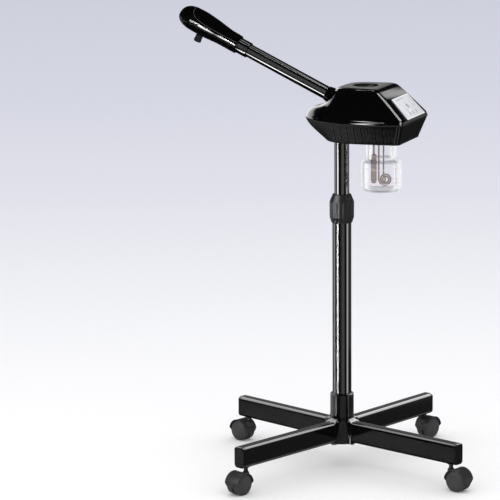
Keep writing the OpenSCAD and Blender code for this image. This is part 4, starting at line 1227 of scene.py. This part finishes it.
def nozzle_ring(row, wall=0):
    station, above, below, half_width = row
    back = wall * (station - 400) / 20 if station > 400 else 0
    ring = []
    for k in range(112):
        a = 2 * pi * k / 112
        height = (above if cos(a) > 0 else below) - wall
        ring.append((cos(a) * max(1.2, height), sin(a) * max(1.2, half_width - wall),
                     NOZZLE_START + station - back))
    return ring


first_row = nozzle_rows[0]
nozzle_outer = [nozzle_ring([first_row[0]] + [size - 0.4 for size in first_row[1:]]),
                nozzle_ring([first_row[0] + 0.4] + first_row[1:])]
nozzle_outer += [nozzle_ring(row) for row in nozzle_rows[1:] + NOZZLE_TIP]
nozzle_part = moved(cup(nozzle_outer, [nozzle_ring(row, 2.2) for row in nozzle_rows[::3]]), ARM)


def eased(points):
    return rounded([(*p, 20 if 0 < i < 7 else 0) for i, p in enumerate(points)])


def above_joint(gap):
    """Block that covers everything above the parting line, set off by gap."""
    line = [(height + (gap if station < 385 else 0),
             NOZZLE_START + station - (gap if station > 360 else 0))
            for height, station in PARTING_LINE]
    points = [(60, NOZZLE_START + 250)] + eased(line) + [(60, line[-1][1])]
    return moved(loft([[(x, y, z) for x, z in points] for y in (40, -40)]), ARM)


at_spout = ARM @ shift(0, 0, NOZZLE_START + SPOUT_STATION) @ turn(-90, "Y")    # Z downward
nozzle_shell = piece("nozzle_lower_shell", nozzle_part, "nozzle", "nozzle_shell",
                     GLOSS, sharp=40)
cut_smoothly(nozzle_shell, [above_joint(0), moved(cylinder(7.35, 4, 40, 64), at_spout)],
             angle=40)
nozzle_cover = piece("nozzle_top_cover", nozzle_part, "nozzle", "nozzle_cover",
                     GLOSS, sharp=40)
cut_smoothly(nozzle_cover, [above_joint(PARTING_GAP)], angle=40, operation="INTERSECT")


def nozzle_at(station):
    for a, b in zip(nozzle_rows, nozzle_rows[1:]):
        if station <= b[0]:
            t = max(0, (station - a[0]) / (b[0] - a[0]))
            return [mix(p, q, t) for p, q in zip(a, b)]
    return list(nozzle_rows[-1])


def parting_bead(side):
    """Fine raised line along the joint on one side of the nozzle, painted paler as a painted
    highlight of the seam.
    """
    line = eased([(8, 257.5)] + PARTING_LINE[1:])
    path = []
    for (h0, s0), (h1, s1) in zip(line, line[1:]):
        steps = max(1, int(math.hypot(h1 - h0, s1 - s0) / 2))
        for k in range(steps):
            height, station = mix(h0, h1, k / steps), mix(s0, s1, k / steps)
            row = nozzle_at(station)
            share = height / row[1]
            if share < 0.995:
                y = side * math.sqrt(1 - share * share)
                path.append((Vector((height, y * row[3], NOZZLE_START + station)),
                             Vector((share, y, 0))))
    rings = []
    for k, (p, outward) in enumerate(path):
        ahead, behind = path[min(k + 1, len(path) - 1)][0], path[max(k - 1, 0)][0]
        along = (ahead - behind).normalized()
        normal = (outward - along * outward.dot(along)).normalized()
        across = along.cross(normal)
        rings.append([tuple(p + (normal * cos(rad(d)) + across * sin(rad(d))) * 0.5)
                      for d in range(0, 360, 60)])
    return loft(rings)


# Paler beads along the nozzle joint: painted highlights of the seam.
piece("nozzle_parting_bead", moved(join(parting_bead(1), parting_bead(-1)), ARM), "nozzle",
      "nozzle_cover", PAINTED_HIGHLIGHT, sharp=70)
bearing = tube(16.15, 20.6, NOZZLE_START + 262, NOZZLE_START + 264.4, 96)
piece("nozzle_bearing_ring", moved(bearing, ARM), "nozzle", "nozzle_shell",
      SATIN, sharp=40)
spout = turned_ring([
    (5.2, 18), (7.3, 18, .2), (7.3, 24.8), (8.6, 25.4, .4), (8.6, 31, .4), (7.9, 31.5, .2),
    (7.9, 33.5, .2), (9, 34, .4), (9, 40.2, .6), (8.4, 41, .5), (6.4, 41, .6),
    (5.2, 39.4, .4)], 96, 4)
piece("nozzle_spout_tip", moved(spout, at_spout), "nozzle", "nozzle_spout",
      SATIN, sharp=40)

# ------------------------------------------------------------------ pieces kept from the frame
KEPT = {"housing_screws": STEEL, "pole_socket": SATIN, "arm_bracket": STEEL,
        "pivot_pins": STEEL, "boiler_head": WHITE, "jar_seal": SEAL, "steam_pipe": WHITE,
        "ozone_lamp": LAMP, "control_board": BOARD, "power_inlet": SATIN}
for name, material in KEPT.items():
    kept = frame["nodes"][name].data.materials
    kept.clear()
    kept.append(material)

# ------------------------------------------------------------------ floor
CAMERA_YAW, CAMERA_PITCH, CAMERA_ROLL = 21.303, 10.972, -0.446
# Floor colour from near to far along the view: painted shade, white near the stand darkening to
# lavender-grey far off, in place of light falling off.
FLOOR_FALLOFF_STOPS = [
    (0.0, (1.0, 1.0, 1.0)), (0.06, (0.975, 0.975, 0.985)), (0.11, (0.935, 0.935, 0.955)),
    (0.21, (0.855, 0.863, 0.896)), (0.36, (0.760, 0.762, 0.84)),
    (0.60, (0.679, 0.693, 0.783)), (1.0, (0.635, 0.648, 0.742))]
floor_material, tree, shader = principled("floor_white")
distance = node(tree, "ShaderNodeVectorMath", {
    0: tree.nodes.new("ShaderNodeTexCoord").outputs["Object"],
    1: (-sin(rad(CAMERA_YAW)), cos(rad(CAMERA_YAW)), 0)}, operation="DOT_PRODUCT")
share = node(tree, "ShaderNodeMapRange", {
    "From Min": -0.5, "From Max": 11.5, "Value": distance.outputs["Value"]})
feed(tree, shader, {"Base Color": ramp(tree, share.outputs["Result"], FLOOR_FALLOFF_STOPS),
                    "Roughness": 0.9, "Specular IOR Level": 0.1})
floor_mesh = bpy.data.meshes.new("floor")
floor_mesh.from_pydata([(x, y, 0) for x, y in arc(30.0, range(0, 360, 5))], [],
                       [tuple(range(72))])
floor = add_object("floor", floor_mesh)
floor_mesh.materials.append(floor_material)
floor.visible_glossy = False

# ------------------------------------------------------------------ world
# Soft boxes seen in reflections. Columns: degrees left of the camera from and to,
# elevation from and to, brightness, edge softness sideways and in elevation
SOFTBOXES = [
    (91, 150, -13.9, 4, 0.5, 5, 0.3), (-36, 18, -30, 4, 0.4, 5, 3),
    (-152, -60, -13.9, 4, 0.3, 4, 0.3), (36, 150, -30, -13.9, 0.40, 4, 0.3),
    (-150, -60, -30, -13.9, 0.1, 4, 0.3), (166, 181, 2, 12, 0.35, 4, 2),
    (-181, -172, 2, 12, 0.35, 2, 2), (150, 181, 12, 17, 0.25, 4, 1),
    (-181, -150, 12, 17, 0.25, 4, 1)]
SKY_FLOOR_LEVEL = 0.012                 # brightness between the boxes
CAMERA_AZIMUTH = -70.7                  # towards the camera, seen from the stand

world = bpy.data.worlds.new("soft_studio")
bpy.context.scene.world = world
world.use_nodes = True
sky = world.node_tree
ray = sky.nodes.new("ShaderNodeTexCoord").outputs["Generated"]


def compute(operation, *values):
    return node(sky, "ShaderNodeMath", dict(enumerate(values)), operation=operation).outputs[0]


def along_ray(direction):
    return node(sky, "ShaderNodeVectorMath", {0: ray, 1: direction},
                operation="DOT_PRODUCT").outputs["Value"]


def level_direction(azimuth):
    return cos(rad(azimuth)), sin(rad(azimuth)), 0


def soft_step(value, start, end):
    return node(sky, "ShaderNodeMapRange", {"From Min": start, "From Max": end, "Value": value},
                interpolation_type="SMOOTHSTEP").outputs["Result"]


towards = along_ray(level_direction(CAMERA_AZIMUTH))
sideways = along_ray(level_direction(CAMERA_AZIMUTH - 90))
left_angle = compute("MULTIPLY", compute("ARCTAN2", sideways, towards), 180 / pi)
elevation = compute("MULTIPLY", compute("ARCSINE", along_ray((0, 0, 1))), 180 / pi)
total = None
for left0, left1, low, high, power, left_soft, rise_soft in SOFTBOXES:
    edges = []
    for start, end, value, soft in ((left0, left1, left_angle, left_soft),
                                    (low, high, elevation, rise_soft)):
        if start > -180:
            edges.append(soft_step(value, start - soft, start + soft))
        if end < 180:
            edges.append(soft_step(value, end + soft, end - soft))
    box = edges[0]
    for edge in edges[1:]:
        box = compute("MULTIPLY", box, edge)
    box = compute("MULTIPLY", box, power)
    total = box if total is None else compute("ADD", total, box)
total = compute("ADD", total, SKY_FLOOR_LEVEL)
is_glossy = sky.nodes.new("ShaderNodeLightPath").outputs["Is Glossy Ray"]
feed(sky, sky.nodes["Background"], {
    "Color": mix_color(sky, is_glossy, (1.0, 1.0, 1.0, 1), total), "Strength": 1.0})
world.cycles.sampling_method = "NONE"
bpy.context.scene.view_settings.view_transform = "Standard"

# ------------------------------------------------------------------ reflection cards
CARD_STEPS = 20


def card_material(name, power):
    """Glow painted in an attribute, added to full transparency."""
    material, tree, output = blank_material(name)
    glow = node(tree, "ShaderNodeAttribute", attribute_name="glow").outputs["Fac"]
    strength = node(tree, "ShaderNodeMath", {0: glow, 1: power}, operation="MULTIPLY")
    emission = node(tree, "ShaderNodeEmission", {"Color": (1, 1, 1, 1), "Strength": power})
    feed(tree, emission, {"Strength": strength.outputs[0]})
    clear = tree.nodes.new("ShaderNodeBsdfTransparent")
    both = node(tree, "ShaderNodeAddShader", {0: emission.outputs[0], 1: clear.outputs[0]})
    feed(tree, output, {"Surface": both.outputs[0]})
    material.cycles.emission_sampling = "NONE"
    return material


def card(name, left, rise, power, pieces, soft=(12, 10), height=0.12):
    """Far, curved reflection card: only the named pieces mirror it, nothing else sees it."""
    points, faces, glow, n, radius = [], [], [], CARD_STEPS, 5.0
    for i in range(n + 1):
        for j in range(n + 1):
            across, up = mix(left[0], left[1], i / n), mix(rise[0], rise[1], j / n)
            a = rad(CAMERA_AZIMUTH - across)
            points.append((radius * cos(rad(up)) * cos(a) + COLUMN_X * MM,
                           radius * cos(rad(up)) * sin(a) + COLUMN_Y * MM,
                           height + radius * sin(rad(up))))
            level = 1.0
            for value, (start, end), s in ((across, left, soft[0]), (up, rise, soft[1])):
                level *= smooth01(min(value - start, end - value) / s)
            glow.append(level)
    for i in range(n):
        for j in range(n):
            q = i * (n + 1) + j
            faces.append((q, q + 1, q + n + 2, q + n + 1))
    mesh = bpy.data.meshes.new(name)
    mesh.from_pydata(points, [], faces)
    mesh.attributes.new("glow", "FLOAT", "POINT").data.foreach_set("value", glow)
    mesh.materials.append(card_material(name, power))
    ob = add_object(name, mesh)
    for kind in ("camera", "diffuse", "shadow", "transmission", "volume_scatter"):
        setattr(ob, "visible_" + kind, False)
    seen_by = bpy.data.collections.new(name + "_seen_by")
    for other in list(bpy.data.objects):
        if other.name.startswith(pieces):
            seen_by.objects.link(other)
    ob.light_linking.receiver_collection = seen_by
    return ob


def hold_close(ob, at, left, rise, distance, wide, tall):
    """Flattens a card and holds it near a point (metres from the column)."""
    a, e = rad(CAMERA_AZIMUTH - left), rad(rise)
    out = Vector((cos(e) * cos(a), cos(e) * sin(a), sin(e)))
    across = Vector((sin(a), -cos(a), 0))
    up = out.cross(across)
    centre = Vector((at[0] + COLUMN_X * MM, at[1] + COLUMN_Y * MM, at[2])) + out * distance
    for k, vertex in enumerate(ob.data.vertices):
        i, j = divmod(k, CARD_STEPS + 1)
        vertex.co = (centre + across * wide * (i / CARD_STEPS - 0.5)
                     + up * tall * (j / CARD_STEPS - 0.5))


LEGS, HEAD = ("leg_", "base_hub_casting"), ("upper_cover_shell",)
LOWER, UPPER, SLEEVE = ("lower_column_tube",), ("upper_column_tube",), ("base_hub_casting",)
ARM_PIECES = ("arm_tube_main", "arm_collar_sleeve")
NOZZLE_PIECES = ("nozzle_lower_shell", "nozzle_top_cover")
# Columns: name, degrees left of the camera, elevation, power, pieces,
# edge softness sideways and in elevation, height of the centre in metres
FIRST_CARDS = [
    ("legs_left", (85, 168), (12, 78), 5.5, LEGS),
    ("legs_right", (-170, -90), (12, 72), 8.0, LEGS),
    ("legs_low", (-135, -70), (-65, -22), 1.0, LEGS),
    ("cover_crease", (-112, 4), (42, 78), 9.0, HEAD, (12, 8), 0.9)]
OTHER_CARDS = [
    ("cover_bow", (120, 177.5), (-12, 28), 2.0, HEAD, (9, 8), 0.9),
    ("cover_deck", (153, 177), (55, 69), 11.0, HEAD, (5, 5), 0.9),
    ("lower_a", (37, 69), (-25, 10), 25, LOWER, (15, 3), 0.4),
    ("lower_b", (88, 117), (-25, 10), 3.3, LOWER, (6, 3), 0.4),
    ("lower_c", (-36, 8), (-25, 10), 0.8, LOWER, (14, 3), 0.4),
    ("lower_d", (-90, -52), (-25, 10), 7.0, LOWER, (16, 3), 0.4),
    ("upper_a", (47, 83), (-25, 10), 25, UPPER, (17, 3), 0.7),
    ("upper_b", (92, 130), (-25, 10), 2.0, UPPER, (14, 3), 0.72),
    ("upper_c", (-40, 12), (-25, 10), 1.2, UPPER, (16, 3), 0.7),
    ("upper_d", (-102, -62), (-25, 10), 6.0, UPPER, (18, 3), 0.7),
    ("upper_e", (-130, -84), (-25, 10), 1.5, UPPER, (18, 3), 0.78),
    ("sleeve_a", (50, 76), (-30, 0), 3.2, SLEEVE, (6, 3), 0.15),
    ("sleeve_b", (66, 150), (-30, 0), 0.8, SLEEVE, (8, 3), 0.15),
    ("sleeve_c", (-74, -50), (-30, 0), 1.0, SLEEVE, (8, 3), 0.15),
    ("collar", (30, 90), (-30, 60), 9.0, ("height_collar_grip",), (8, 8), 0.62),
    ("arm_streak", (38, 80), (-42, -26), 34, ARM_PIECES, (6, 7), 0.98),
    ("arm_line", (-179.9, 180), (64, 80), 6, ARM_PIECES, (0.1, 8), 1.1),
    ("arm_band", (-2, 58), (-14, 42), 1.1, ARM_PIECES, (10, 10), 0.98),
    ("nozzle", (31, 46), (-14, 9), 34, NOZZLE_PIECES, (7.5, 10), 1.06),
    ("hull", (30, 130), (-88, -16), 1.2, ("lower_housing_shell",), (14, 20), 0.82),
    ("wheels", (-20, 95), (2, 75), 3.0, ("caster_",), (25, 22), 0.03),
    ("jar", (-179.9, 180), (-60, 85), 1.0, ("glass_jar_body",), (0.1, 8), 0.75)]

for name, *settings in FIRST_CARDS:
    card("card_" + name, *settings)
crest_card = card("card_cover_crest", left=(-10, 10), rise=(-10, 10), power=1.5, pieces=HEAD,
                  soft=(8, 8))
hold_close(crest_card, at=(0.126, 0.012, 0.904), left=-152.8, rise=18.4, distance=0.12,
           wide=0.036, tall=0.15)
for name, *settings in OTHER_CARDS:
    card("card_" + name, *settings)

# ------------------------------------------------------------------ light
LIGHT_PLACE, LIGHT_TARGET = Vector((0.2, -0.6, 3.4)), Vector((0, 0, 0.3))
light = bpy.data.lights.new("soft_top", "AREA")
light.energy = 12
light.size = 2.4
light_object = add_object("soft_top", light)
light_object.location = LIGHT_PLACE
aim = (LIGHT_TARGET - LIGHT_PLACE).to_track_quat("-Z", "Y")
light_object.rotation_euler = aim.to_euler()
light_object.visible_glossy = False

# ------------------------------------------------------------------ camera
CAMERA_PLACE = Vector((2.04919 + COLUMN_X * MM, -5.85157 + COLUMN_Y * MM, 1.727))
yaw, pitch, roll = rad(CAMERA_YAW), rad(CAMERA_PITCH), rad(CAMERA_ROLL)
forward = Vector((-sin(yaw) * cos(pitch), cos(yaw) * cos(pitch), -sin(pitch)))
level_right = Vector((cos(yaw), sin(yaw), 0))
level_up = level_right.cross(forward)
right = cos(roll) * level_right + sin(roll) * level_up
up = -sin(roll) * level_right + cos(roll) * level_up
camera = bpy.data.cameras.new("camera")
camera.sensor_width = 36
camera.lens = 191.952
camera.clip_end = 100
camera.shift_x = -0.0007
camera_object = add_object("camera", camera)
camera_axes = Matrix((right, up, -forward)).transposed().to_4x4()
camera_object.matrix_world = Matrix.Translation(CAMERA_PLACE) @ camera_axes
bpy.context.scene.camera = camera_object
